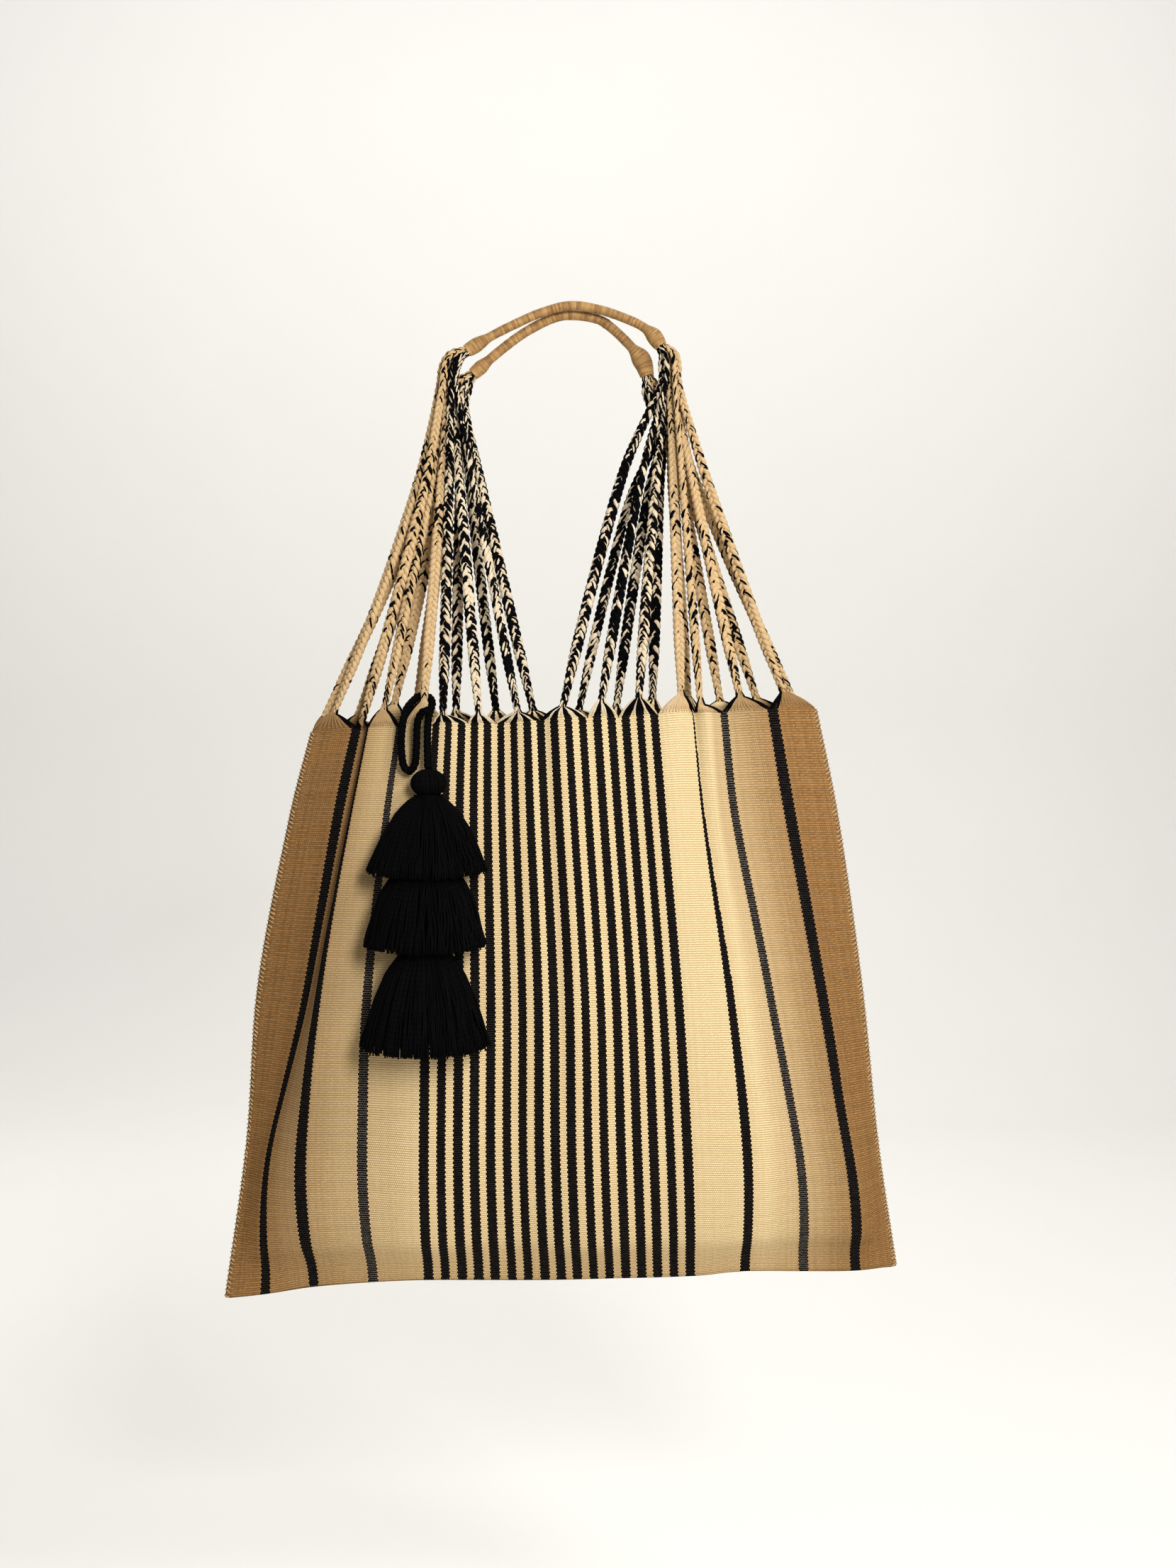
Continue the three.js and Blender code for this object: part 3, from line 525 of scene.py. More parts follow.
class Finish:
    """A material in the making: a principled shader and the nodes that feed it."""

    def __init__(self, name, **constants):
        self.material = bpy.data.materials.new(name)
        self.material.use_nodes = True
        self.tree = self.material.node_tree
        self.tree.nodes.clear()
        self.shader = self.tree.nodes.new("ShaderNodeBsdfPrincipled")
        output = self.tree.nodes.new("ShaderNodeOutputMaterial")
        self.tree.links.new(self.shader.outputs[0], output.inputs["Surface"])
        for socket, value in constants.items():
            self.feed(socket.replace("_", " "), value)

    def set_socket(self, socket, value):
        """Links a value to a socket, or sets a number or colour on it."""
        if isinstance(value, Value):
            self.tree.links.new(value.socket, socket)
        elif isinstance(value, (int, float)):
            socket.default_value = value
        else:
            numbers = list(value)
            if socket.type == "RGBA" and len(numbers) == 3:
                numbers.append(1.0)
            socket.default_value = numbers

    def node(self, kind, settings=None, sockets=None, output=0):
        """Adds a node: its settings first, then its sockets. Returns one of its outputs."""
        made = self.tree.nodes.new(kind)
        for name, value in (settings or {}).items():
            setattr(made, name, value)
        for name, value in (sockets or {}).items():
            self.set_socket(made.inputs[name], value)
        return Value(self, made.outputs[output])

    def feed(self, socket, value):
        """Feeds one of the shader's sockets."""
        self.set_socket(self.shader.inputs[socket], value)

    def split(self, vector):
        """The three parts of a vector."""
        parts = self.node("ShaderNodeSeparateXYZ", None, {"Vector": vector}).socket.node
        return [Value(self, socket) for socket in parts.outputs]

    def lay(self):
        """The place on the cloth or yarn: across and along."""
        return self.split(self.node("ShaderNodeUVMap", {"uv_map": "lay"}))[:2]

    def tone(self):
        """The three tones kept at each vertex."""
        return self.split(self.node("ShaderNodeAttribute", {"attribute_name": "tone"}, output="Vector"))

    def chance(self, x, y):
        """A random value for each pair of whole numbers."""
        place = self.node("ShaderNodeCombineXYZ", None, {"X": x, "Y": y})
        return self.node("ShaderNodeTexWhiteNoise", {"noise_dimensions": "2D"}, {"Vector": place})

    def cloud(self, scale, detail=3.0):
        """Soft noise through the piece, scale in patches to the metre."""
        place = self.node("ShaderNodeTexCoord", output="Object")
        return self.node("ShaderNodeTexNoise", None, {"Vector": place, "Scale": scale, "Detail": detail})

    def mix(self, share, first, second):
        """A colour between two colours."""
        sockets = {MIX_SHARE: share, MIX_FIRST: first, MIX_SECOND: second}
        return self.node("ShaderNodeMix", {"data_type": "RGBA", "clamp_factor": True}, sockets, MIX_RESULT)

    def raise_surface(self, height, sizes):
        """Bump from a height, by the depth and strength in a finish's table."""
        sockets = {"Height": height, "Distance": sizes["bump"], "Strength": sizes["bump_strength"]}
        self.feed("Normal", self.node("ShaderNodeBump", None, sockets))


def finish_of(maker):
    """The finish that a function makes, made the first time that a piece asks for it."""
    return bpy.data.materials.get(maker.__name__) or maker(maker.__name__)


def length(name, description, default):
    """A length that a user can change, in metres."""
    return FloatProperty(name=name, description=description, default=default, unit="LENGTH", precision=5)


def colour(name, description, default):
    """A colour that a user can change."""
    return FloatVectorProperty(name=name, description=description, default=default, subtype="COLOR",
                               size=3, min=0.0, max=1.0)


def strength(name, description, default):
    """A light's power or strength."""
    return FloatProperty(name=name, description=description, default=default, min=0.0)


class ClothSettings(bpy.types.PropertyGroup):
    """The woven cloth and its stripes"""
    wall: length("Thickness", "Thickness of the woven cloth", 0.0016)
    rib: length("Rib pitch", "Distance from one weft rib to the next", 0.00142)
    thread: length("Thread pitch", "Distance from one warp thread to the next", 0.00108)
    stripe_pitch: length("Stripe pitch", "Distance between the fine stripes", 0.010375)
    stripe_width: length("Stripe width", "Width of a fine stripe", 0.00575)
    side_stripe_width: length("Side stripe width", "Width of a stripe near the sides", 0.006)
    gather: length("Gather depth", "Depth of the gathers under the rim", 0.0016)
    stitch_pitch: length("Stitch pitch", "Distance between the overcast stitches of a seam", 0.0027)
    light: colour("Cotton", "Undyed cotton in the light threads", (0.84, 0.70, 0.44))
    warm: colour("Warm cotton", "Undyed cotton in the warmer threads", (0.68, 0.51, 0.27))
    # Side cotton and Side shade are gold cotton that also stands in for painted shade towards the seams.
    side: colour("Side cotton", "Golden cotton towards the seams", (0.42, 0.238, 0.098))
    side_shade: colour("Side shade", "Golden cotton in the darker threads", (0.235, 0.13, 0.052))
    # Side gaps and Rib gaps are painted shade deep between the ribs.
    side_gap: colour("Side gaps", "Golden cotton deep between the ribs", (0.06, 0.03, 0.011))
    gap: colour("Rib gaps", "Cotton deep between the ribs", (0.22, 0.115, 0.04))
    black: colour("Black stripes", "Dyed stripe threads", (0.004, 0.0032, 0.0036))
    weft: colour("Weft", "Weft that shows between the threads of a stripe", (0.64, 0.54, 0.44))


class PlaitSettings(bpy.types.PropertyGroup):
    """The plaits between the rim and the handles"""
    period: length("Plait period", "Length in which a strand comes back to its place", 0.0122)
    strand: length("Strand radius", "Radius of one of the three strands", 0.00178)
    sway: length("Sway", "How far a strand goes to each side", 0.0021)
    lift: length("Lift", "How far a strand goes to the front and back", 0.0009)
    pale: colour("Pale yarn", "Undyed yarn of the middle plaits", (0.93, 0.82, 0.62))
    warm: colour("Warm yarn", "Undyed yarn of the outer plaits", (0.78, 0.58, 0.335))
    # Yarn shade is painted shade in the grooves between threads, and also a random darker tone and mottle.
    shade: colour("Yarn shade", "Undyed yarn between its threads", (0.25, 0.13, 0.045))
    black: colour("Black yarn", "Dyed plait yarn", (0.0045, 0.004, 0.005))


class HandleSettings(bpy.types.PropertyGroup):
    """The wound handles"""
    pitch: length("Winding pitch", "Distance from one turn of yarn to the next", 0.0008)
    yarn: length("Yarn radius", "Radius of the winding yarn", 0.00047)
    light: colour("Winding light", "Lighter yarn of the winding", (0.60, 0.38, 0.16))
    # Winding deep serves both: darker runs and patches of yarn, and painted shade between the fibres.
    deep: colour("Winding deep", "Darker yarn of the winding", (0.20, 0.10, 0.033))


class TasselSettings(bpy.types.PropertyGroup):
    """The tassel"""
    yarn: length("Yarn radius", "Radius of a strand in the skirts", 0.0006)
    strands: IntProperty(name="Strands", description="Strands in each skirt", default=640, min=60)
    black: colour("Black wool", "Dyed wool of the tassel", (0.0016, 0.0015, 0.0018))
    # the lighter black is partly faded wool and partly a painted highlight on the fibre crests
    worn: colour("Worn black", "Dyed wool where it has faded", (0.006, 0.0055, 0.006))


class StageSettings(bpy.types.PropertyGroup):
    """The floor and the lights"""
    floor: length("Floor height", "Height of the floor below the hanging point", -0.9)
    pale: colour("Floor colour", "Colour of the floor and the sweep behind", (0.86, 0.845, 0.80))
    key: strength("Key light", "Power of the main light in watts", 16.4)
    fill: strength("Fill light", "Power of the weaker light in watts", 9.0)
    sweep: strength("Sweep light", "Power of the light on the sweep in watts", 38.0)
    behind: strength("Back light", "Power of the light behind the bag in watts", 6.0)
    sky: strength("Sky", "Strength of the light all round", 0.3)


SETTINGS = {
    "bag_cloth_settings": ClothSettings,
    "bag_plait_settings": PlaitSettings,
    "bag_handle_settings": HandleSettings,
    "bag_tassel_settings": TasselSettings,
    "bag_stage_settings": StageSettings,
}


def panel_points(panel, flats, shares):
    """Points of a panel's outer face: a row for each height share and a column for each flat distance."""
    table = np.array(LINES[panel], float)
    column = {name: table[:, i] for i, name in enumerate(LINE_COLUMNS)}
    feet = np.full(len(table), FACING[panel] * SEAM_HALF)
    levels = [np.stack([column["footX"], feet, column["footZ"]], axis=1)]
    for level, height in LEVEL_Z.items():
        x = column[level + "X"]
        z = np.full(len(table), height) + (RIM_SLOPE * x if level == "rim" else 0.0)
        levels.append(np.stack([x, column[level + "Y"], z], axis=1))
    across = np.stack([smooth_at(column["flat"], points, flats) for points in levels])
    return smooth_at(LEVEL_SHARE, across, shares)


def outward(panel, points):
    """Directions out of a panel's grid of points."""
    return unit(np.cross(np.gradient(points, axis=1), np.gradient(points, axis=0))) * -FACING[panel]


def wandering(folds, flats, below):
    """Upright folds that wander a little to each side on their way down."""
    wander = folds["wander"] * np.sin(below / folds["wander_length"])
    return folds["depth"] * np.sin(flats / folds["length"] + folds["phase"] + wander)


def front_folds(flats, rise):
    """The crease by the tuck, the valley in the middle and the swell above the foot."""
    crease = ease(CREASE["starts"], CREASE["peak"], flats) * ease(CREASE["ends"], CREASE["peak"], flats)
    crease = CREASE["depth"] * crease * ease(*CREASE["rises"], rise)
    valley = np.exp(-((flats - VALLEY["middle"]) / VALLEY["width"]) ** 2)
    valley = VALLEY["depth"] * valley * ease(*VALLEY["rises"], rise)
    swell = FOOT_SWELL["depth"] + FOOT_SWELL["wave"] * np.sin(flats / FOOT_SWELL["length"])
    swell = swell * ease(0.0, FOOT_SWELL["peak"], rise) * ease(FOOT_SWELL["ends"], FOOT_SWELL["peak"], rise)
    return crease - valley + swell


def relief(panel, flats, shares, gather):
    """How far the cloth stands out: gathers under the rim, slow waves lower down and soft folds behind."""
    point = np.clip(np.searchsorted(POINT_EDGES, flats, side="right") - 1, 0, len(RIM_POINTS) - 1)
    share = (flats - POINT_EDGES[point]) / (POINT_EDGES[point + 1] - POINT_EDGES[point])
    rise = shares[:, None]
    below = (1.0 - rise) * CLOTH_HEIGHT
    gathers = gather * (np.sin(np.pi * share) - GATHERS["level"]) * np.exp(-below / GATHERS["reach"])
    long_folds = LONG_FOLDS["depth"] * np.sin(flats / LONG_FOLDS["length"] + LONG_FOLDS["phase"])
    long_folds = long_folds * np.exp(-below / LONG_FOLDS["reach"])
    ripples = RIPPLES["depth"] * np.sin(flats / RIPPLES["length"] + below / RIPPLES["climb"])
    if panel == "front":
        folds = front_folds(flats, rise)
    else:
        folds = wandering(BACK_FOLDS, flats, below) * ease(*BACK_FOLDS["rises"], rise)
        folds = folds * ease(1.0, BACK_FOLDS["ends"], rise)
    fade = ease(0.0, STILL_EDGES["side"], HALF_FLAT - np.abs(flats)) * ease(0.0, STILL_EDGES["foot"], rise)
    return (gathers + long_folds + wandering(WAVES, flats, below) + ripples + folds) * fade


def column_flats():
    """The flat distance of every column of the cloth: each rim point has the same number."""
    edges = zip(POINT_EDGES, POINT_EDGES[1:])
    parts = [np.linspace(start, end, COLUMNS_PER_POINT, endpoint=False) for start, end in edges]
    return np.concatenate(parts + [[HALF_FLAT]])


def point_columns(k):
    """The columns of a rim point, with both its edges."""
    return slice(k * COLUMNS_PER_POINT, (k + 1) * COLUMNS_PER_POINT + 1)


def panel_faces(panel, cloth):
    """The outer and the inner face of a panel, as grids of points from the foot to the rim."""
    flats = column_flats()
    shares = np.linspace(0.0, 1.0, CLOTH_ROWS + 1)
    stand = relief(panel, flats, shares, cloth.gather / MM)[..., None]
    outer = panel_points(panel, flats, shares)
    foot = SEAM_WIDTH / CLOTH_HEIGHT
    inner = panel_points(panel, flats * (1.0 - SEAM_WIDTH / HALF_FLAT), blend_between(foot, 1.0, shares))
    inner_out = outward(panel, inner)
    return outer + outward(panel, outer) * stand, inner + inner_out * (stand - cloth.wall / MM)


def tip_centre(panel, k):
    """Where the threads of a rim point meet."""
    middle = (POINT_EDGES[k] + POINT_EDGES[k + 1]) / 2
    outer = panel_points(panel, middle + TIP_FLATS, TIP_SHARES)
    out = outward(panel, outer)[-1, 1]
    wall = bpy.context.scene.bag_cloth_settings.wall / MM
    depth = outer[-1, 1, 1] - out[1] * wall / 2
    x, z = RIM_POINTS[k][panel]
    return np.array([x, depth, z])


def point_rows(panel, k, base, is_outer, rises):
    """Rows of a rim point above its base row, drawn together towards its tip."""
    spread = np.linspace(-1.0, 1.0, len(base))[:, None]
    ends = tip_centre(panel, k) + np.array([TIP_HALF_WIDTH, 0.0, 0.0]) * spread
    ends[:, 1] += TIP_HALF_DEPTH * FACING[panel] * (1.0 if is_outer else -1.0)
    rise = rises[:, None, None]
    gather = blend_between(rise ** ARCH_SLOPE, 1.0 - np.sqrt(1.0 - (ARCH_REACH * rise) ** 2), ARCH_SHARE)
    rows = blend_between(base, ends, gather)
    rows[..., 2] = blend_between(base[:, 2], ends[:, 2], rises[:, None])
    return rows


class ClothShell:
    """The whole cloth as one closed shell: both panels, the seams, the foot and the rim points."""

    def __init__(self, cloth):
        self.flats = column_flats()
        self.height = np.linspace(0.0, CLOTH_HEIGHT, CLOTH_ROWS + 1)
        self.points, self.lays, self.tones, self.faces = [], [], [], []
        self.count = 0
        self.grids = {}
        self.index = {}
        for panel in PANELS:
            for is_outer, grid in zip((True, False), panel_faces(panel, cloth)):
                self.grids[panel, is_outer] = grid
                self.index[panel, is_outer] = self.put(grid, self.flats, self.height[:, None], 1.0)
                self.cover(self.index[panel, is_outer], (panel == "front") != is_outer)
        seams = [self.add_seam(column, way) for column, way in ((0, -1.0), (-1, 1.0))]
        self.add_foot(seams)
        self.add_rim_corners(seams)
        for panel in PANELS:
            for k in range(len(RIM_POINTS)):
                self.add_rim_point(panel, k)

    def put(self, grid, u, v, woven):
        """Adds a grid of vertices with their lay, and returns their numbers."""
        shape = grid.shape[:-1]
        lay = np.stack([np.broadcast_to(u, shape), np.broadcast_to(v, shape)], axis=-1)
        tone = np.zeros(shape + (3,))
        tone[..., 0] = woven
        self.points.append(grid.reshape(-1, 3))
        self.lays.append(lay.reshape(-1, 2))
        self.tones.append(tone.reshape(-1, 3))
        index = np.arange(self.count, self.count + len(self.points[-1])).reshape(shape)
        self.count += len(self.points[-1])
        return index

    def cover(self, index, turned=False):
        """Adds the faces of a grid of vertex numbers."""
        self.faces.append(grid_faces(index, turned))

    def add_seam(self, column, way):
        """Rounds the outer edge of a seam and closes its inner edge."""
        front, back = self.index["front", True][:, column], self.index["back", True][:, column]
        middle = (self.grids["front", True][:, column] + self.grids["back", True][:, column]) / 2
        middle[:, 0] += way * SEAM_ROUND
        seam = self.put(middle, self.flats[column], self.height, 1.0)
        self.cover(np.stack([back, seam, front], axis=1), way > 0)
        inside = [self.index[panel, False][:, column] for panel in ("back", "front")]
        self.cover(np.stack(inside, axis=1), way < 0)
        return seam

    def add_foot(self, seams):
        """Rounds the fold at the foot and closes the cloth inside it."""
        middle = (self.grids["front", True][0] + self.grids["back", True][0]) / 2
        middle[:, 2] -= SEAM_ROUND
        fold = self.put(middle[1:-1], self.flats[1:-1], 0.0, 1.0)
        fold = np.concatenate([seams[0][:1], fold, seams[1][:1]])
        self.cover(np.stack([self.index["back", True][0], fold, self.index["front", True][0]]))
        self.cover(np.stack([self.index["back", False][0], self.index["front", False][0]]), True)

    def add_rim_corners(self, seams):
        """Closes the top of each seam."""
        keys = (("front", True), ("front", False), ("back", False), ("back", True))
        left = [self.index[key][-1, 0] for key in keys] + [seams[0][-1]]
        right = [self.index[key][-1, -1] for key in keys] + [seams[1][-1]]
        self.faces.append(np.array([left, right[::-1]]))

    def add_rim_point(self, panel, k):
        """Adds both faces of a rim point and closes its edges."""
        part = point_columns(k)
        lay = CLOTH_HEIGHT + POINT_LAY * POINT_RISES[:, None]
        woven = 1.0 - ease(*WOVEN_ENDS, POINT_RISES)[:, None]
        sheets = {}
        for is_outer in (True, False):
            base = self.grids[panel, is_outer][-1, part]
            above = self.put(point_rows(panel, k, base, is_outer, POINT_RISES), self.flats[part], lay, woven)
            sheets[is_outer] = np.concatenate([self.index[panel, is_outer][-1:, part], above])
            self.cover(sheets[is_outer], (panel == "front") != is_outer)
        near = sheets[panel == "front"]
        far = sheets[panel != "front"]
        self.cover(np.stack([far[:, 0], near[:, 0]], axis=1))
        self.cover(np.stack([near[:, -1], far[:, -1]], axis=1))
        self.cover(np.stack([near[-1], far[-1]]))

    def pile(self):
        """The shell as a pile that makes one piece."""
        lay = np.concatenate(self.lays)
        pile = Pile()
        pile.add(np.concatenate(self.points), np.concatenate(self.tones), self.faces,
                 [lay[block] for block in self.faces])
        return pile


def is_black(flat, cloth):
    """Whether the thread at a flat distance belongs to a stripe."""
    pitch = cloth.stripe_pitch / MM
    near = abs((flat / pitch + 0.5) % 1.0 - 0.5) * pitch
    if abs(flat) < FINE_STRIPES_END and near < cloth.stripe_width / MM / 2:
        return True
    return any(abs(abs(flat) - place) < cloth.side_stripe_width / MM / 2 for place in SIDE_STRIPES)


def golden_sides(flat):
    """How far the cotton turns gold and darkens with painted shade on each side, without limits, for a number
    or a shader value.
    """
    left = (flat + GOLDEN_AND_SHADE_LEFT[0]) / (GOLDEN_AND_SHADE_LEFT[0] - GOLDEN_AND_SHADE_LEFT[1])
    right = (flat - GOLDEN_AND_SHADE_RIGHT[0]) / (GOLDEN_AND_SHADE_RIGHT[1] - GOLDEN_AND_SHADE_RIGHT[0])
    return left, right


def warm_share(flat):
    """How warm the yarn is at a flat distance."""
    return float(ease(*WARM_YARN, abs(flat)))


def cotton_cloth(name):
    """Warp-faced cotton: weft ribs, staggered thread floats and black stripes."""
    cloth = bpy.context.scene.bag_cloth_settings
    finish = Finish(name, Roughness=0.95, Specular_IOR_Level=0.04)
    u, v = finish.lay()
    woven = finish.tone()[0]
    rib = v / (cloth.rib / MM)
    row = rib.floor()
    odd = (row * 0.5).fraction() * 2.0
    thread_width = cloth.thread / MM
    place = u / thread_width + odd * 0.5
    thread = place.floor()
    middle = (thread - odd * 0.5 + 0.5) * thread_width
    near = abs((middle / (cloth.stripe_pitch / MM) + 0.5).fraction() - 0.5)
    stripe = (near < cloth.stripe_width / cloth.stripe_pitch / 2) * (abs(middle) < FINE_STRIPES_END)
    side_width = cloth.side_stripe_width / MM
    for at in SIDE_STRIPES:
        stripe = stripe + (abs(abs(middle) - at) < side_width / 2)
    tucked = ((v - TUCK["from"]) / (CLOTH_HEIGHT - TUCK["from"])).limited() * TUCK["reach"]
    hidden = (middle > TUCK["edge"] - tucked) * (middle < TUCK["edge"] + TUCK["past"])
    stripe = stripe * (1.0 - hidden)
    along = rib.arch()
    across = place.arch()
    height = (along ** WEAVE["round"]) * (across * WEAVE["relief"] + (1.0 - WEAVE["relief"]))
    tone = finish.chance(thread * 2.0 + odd, CHANCE["thread"]) * WEAVE["thread_tone"]
    tone = tone + finish.chance(thread, row) * WEAVE["float_tone"]
    tone = tone + finish.chance(row, CHANCE["row"]) * WEAVE["row_tone"]
    cotton = finish.mix(tone * WEAVE["warm"], cloth.light, cloth.warm)
    cotton = finish.mix(finish.cloud(WEAVE["mottle"]) * WEAVE["mottle_share"], cotton, cloth.warm)
    # the side colour is gold cotton darkened with painted shade towards the seams, more so on the left
    left, right = golden_sides(u)
    golden = left.at_least(right)
    side = finish.mix(tone, cloth.side, cloth.side_shade)
    cotton = finish.mix(golden, cotton, side)
    # painted shade: the cloth darkens towards the foot, where it turns under
    cotton = finish.mix((1.0 - v / PAINTED_FOOT_SHADE["height"]) * PAINTED_FOOT_SHADE["share"], cotton, side)
    # painted shade deep between the ribs and floats, darker still in the gold zone towards the seams
    gap = finish.mix(golden, cloth.gap, cloth.side_gap)
    cotton = finish.mix((1.0 - height) * woven * WEAVE["gap"], cotton, gap)
    speck = ((1.0 - along) ** WEAVE["speck_round"]) * ((1.0 - across) ** WEAVE["speck_round"]) * woven
    each = finish.chance(thread + CHANCE["speck"], row) * WEAVE["speck_spread"] + WEAVE["speck_least"]
    shown = WEAVE["speck"]
    for at in OPEN_STRIPES:
        shown = (abs(middle - at) < side_width) * WEAVE["open_speck"] + shown
    black = finish.mix(speck * each * shown, cloth.black, cloth.weft)
    finish.feed("Base Color", finish.mix(stripe.at_most(1.0), cotton, black))
    finish.raise_surface(height * woven, WEAVE)
    return finish.material


def plaited_cotton(name):
    """Soft cotton yarn whose threads are undyed or black in long lanes."""
    plait = bpy.context.scene.bag_plait_settings
    cloth = bpy.context.scene.bag_cloth_settings
    finish = Finish(name, Roughness=0.85, Specular_IOR_Level=0.05)
    u, v = finish.lay()
    dark, seed, warm = finish.tone()
    strand = (seed * CHANCE["strand"]).floor()
    turn = u + v / PLAIT_YARN["twist"]
    lane = (turn.fraction() * PLAIT_YARN["lanes"]).floor()
    cell = v / PLAIT_YARN["lane_length"] + lane * PLAIT_YARN["lane_stagger"]
    cell = (cell + seed * PLAIT_YARN["strand_stagger"]).floor()
    black = finish.chance(lane + strand, cell) < dark
    wander = finish.cloud(PLAIT_YARN["wander_scale"], detail=1.0) * PLAIT_YARN["wander"]
    ridge = (turn * PLAIT_YARN["threads"] + wander).arch()
    tone = finish.chance((turn.fraction() * PLAIT_YARN["threads"]).floor(), strand)
    yarn = finish.mix(warm, plait.pale, plait.warm)
    # rim threads, whose warm share goes over 1, darken to the side colour of the cloth: gold, partly painted
    # shade towards the seams
    yarn = finish.mix(warm - 1.0, yarn, cloth.side_shade)
    # painted shade in the grooves between threads, plus a random tone for each thread
    shaded = (1.0 - ridge) * PLAIT_YARN["painted_groove_shade"] + tone * PLAIT_YARN["thread_tone"]
    cotton = finish.mix(shaded, yarn, plait.shade)
    cotton = finish.mix(finish.cloud(PLAIT_YARN["mottle"]) * PLAIT_YARN["mottle_share"], cotton, plait.shade)
    finish.feed("Base Color", finish.mix(black, cotton, plait.black))
    finish.raise_surface(ridge, PLAIT_YARN)
    return finish.material


def wound_yarn(name):
    """Smooth, slightly shiny yarn wound tightly round the handles."""
    handle = bpy.context.scene.bag_handle_settings
    finish = Finish(name, Specular_IOR_Level=0.4)
    u, v = finish.lay()
    run = finish.chance((v / WOUND_YARN["run"]).floor(), CHANCE["run"])
    patch = finish.cloud(WOUND_YARN["patch"], detail=2.0)
    fibre = (u * WOUND_YARN["fibres"] + v / WOUND_YARN["fibre_pitch"]).arch()
    deep = run * WOUND_YARN["run_tone"] + patch * WOUND_YARN["patch_tone"]
    # painted shade between the fibres
    deep = deep + (1.0 - fibre) * WOUND_YARN["painted_fibre_shading"] - WOUND_YARN["light"]
    finish.feed("Base Color", finish.mix(deep, handle.light, handle.deep))
    finish.feed("Roughness", patch * WOUND_YARN["rough_spread"] + WOUND_YARN["rough"])
    finish.raise_surface(fibre, WOUND_YARN)
    return finish.material


def black_wool(name):
    """Black wool with a faint fade and a faint painted highlight along its fibres."""
    tassel = bpy.context.scene.bag_tassel_settings
    finish = Finish(name, Roughness=0.75, Specular_IOR_Level=0.06)
    u, v = finish.lay()
    seed = finish.tone()[1]
    fibre = (u * WOOL["fibres"] + v / WOOL["fibre_pitch"]).arch()
    worn = finish.chance((seed * CHANCE["strand"]).floor(), CHANCE["wool"]) * WOOL["strand_tone"]
    worn = worn + finish.cloud(WOOL["mottle"]) * WOOL["mottle_tone"]
    # painted highlight along the crests of the fibres
    worn = worn + fibre * WOOL["painted_fibre_shading"] - WOOL["dark"]
    finish.feed("Base Color", finish.mix(worn, tassel.black, tassel.worn))
    finish.raise_surface(fibre, WOOL)
    return finish.material


def pale_floor(name):
    """Plain pale paint with a very faint mottle."""
    stage = bpy.context.scene.bag_stage_settings
    finish = Finish(name, Roughness=0.9, Specular_IOR_Level=0.2)
    shade = [part * FLOOR_PAINT["shade"] for part in stage.pale]
    finish.feed("Base Color", finish.mix(finish.cloud(FLOOR_PAINT["mottle"]), stage.pale, shade))
    return finish.material


class WOVENBAG_OT_camera(bpy.types.Operator):
    """Place the camera in front of the hanging bag"""
    bl_idname = "woven_bag.camera"
    bl_label = "Camera"

    def execute(self, context):
        data = bpy.data.cameras.new("bag_camera")
        data.sensor_width = CAMERA_SENSOR
        data.lens = CAMERA_LENS
        camera = add_object("bag_camera", data)
        camera.location = CAMERA_PLACE
        camera.rotation_euler = (math.pi / 2, 0.0, 0.0)
        context.scene.camera = camera
        return {"FINISHED"}


def cord_plies(path):
    """The plies of the twisted cord round a path, with the direction out of the cord at each point."""
    _, side, other = steady_frames(path)
    angle = FULL_TURN * lengths_along(path) / CORD["twist"]
    outs = [around(side, other, angle + FULL_TURN * ply / CORD["plies"]) for ply in range(CORD["plies"])]
    return path + np.array(outs) * LOOP_RADIUS * CORD["ring"], np.array(outs)


class WOVENBAG_OT_tassel_cord(bpy.types.Operator):
    """Make the black cord that is hitched round a plait and carries the tassel"""
    bl_idname = "woven_bag.tassel_cord"
    bl_label = "Tassel cord"

    def execute(self, context):
        path = smooth_route(LOOP_ROUTE, CORD["step"])
        paths, outs = cord_plies(path)
        tones = [(1.0, CORD["tone"] + CORD["tone_step"] * ply, 0.0) for ply in range(CORD["plies"])]
        pile = Pile()
        pile.tubes(paths, LOOP_RADIUS * CORD["ply"], CORD["sides"], tones, outs)
        cord = pile.piece("tassel_cord", finish_of(black_wool), "black_yarn")
        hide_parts("tassel_loop")
        return {"FINISHED"}


class WOVENBAG_OT_cloth(bpy.types.Operator):
    """Make the striped cloth, folded at the foot and sewn up both sides"""
    bl_idname = "woven_bag.cloth"
    bl_label = "Cloth"

    def execute(self, context):
        shell = ClothShell(context.scene.bag_cloth_settings)
        piece = shell.pile().piece("woven_cloth", finish_of(cotton_cloth), "cloth")
        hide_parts("bag_cloth")
        return {"FINISHED"}


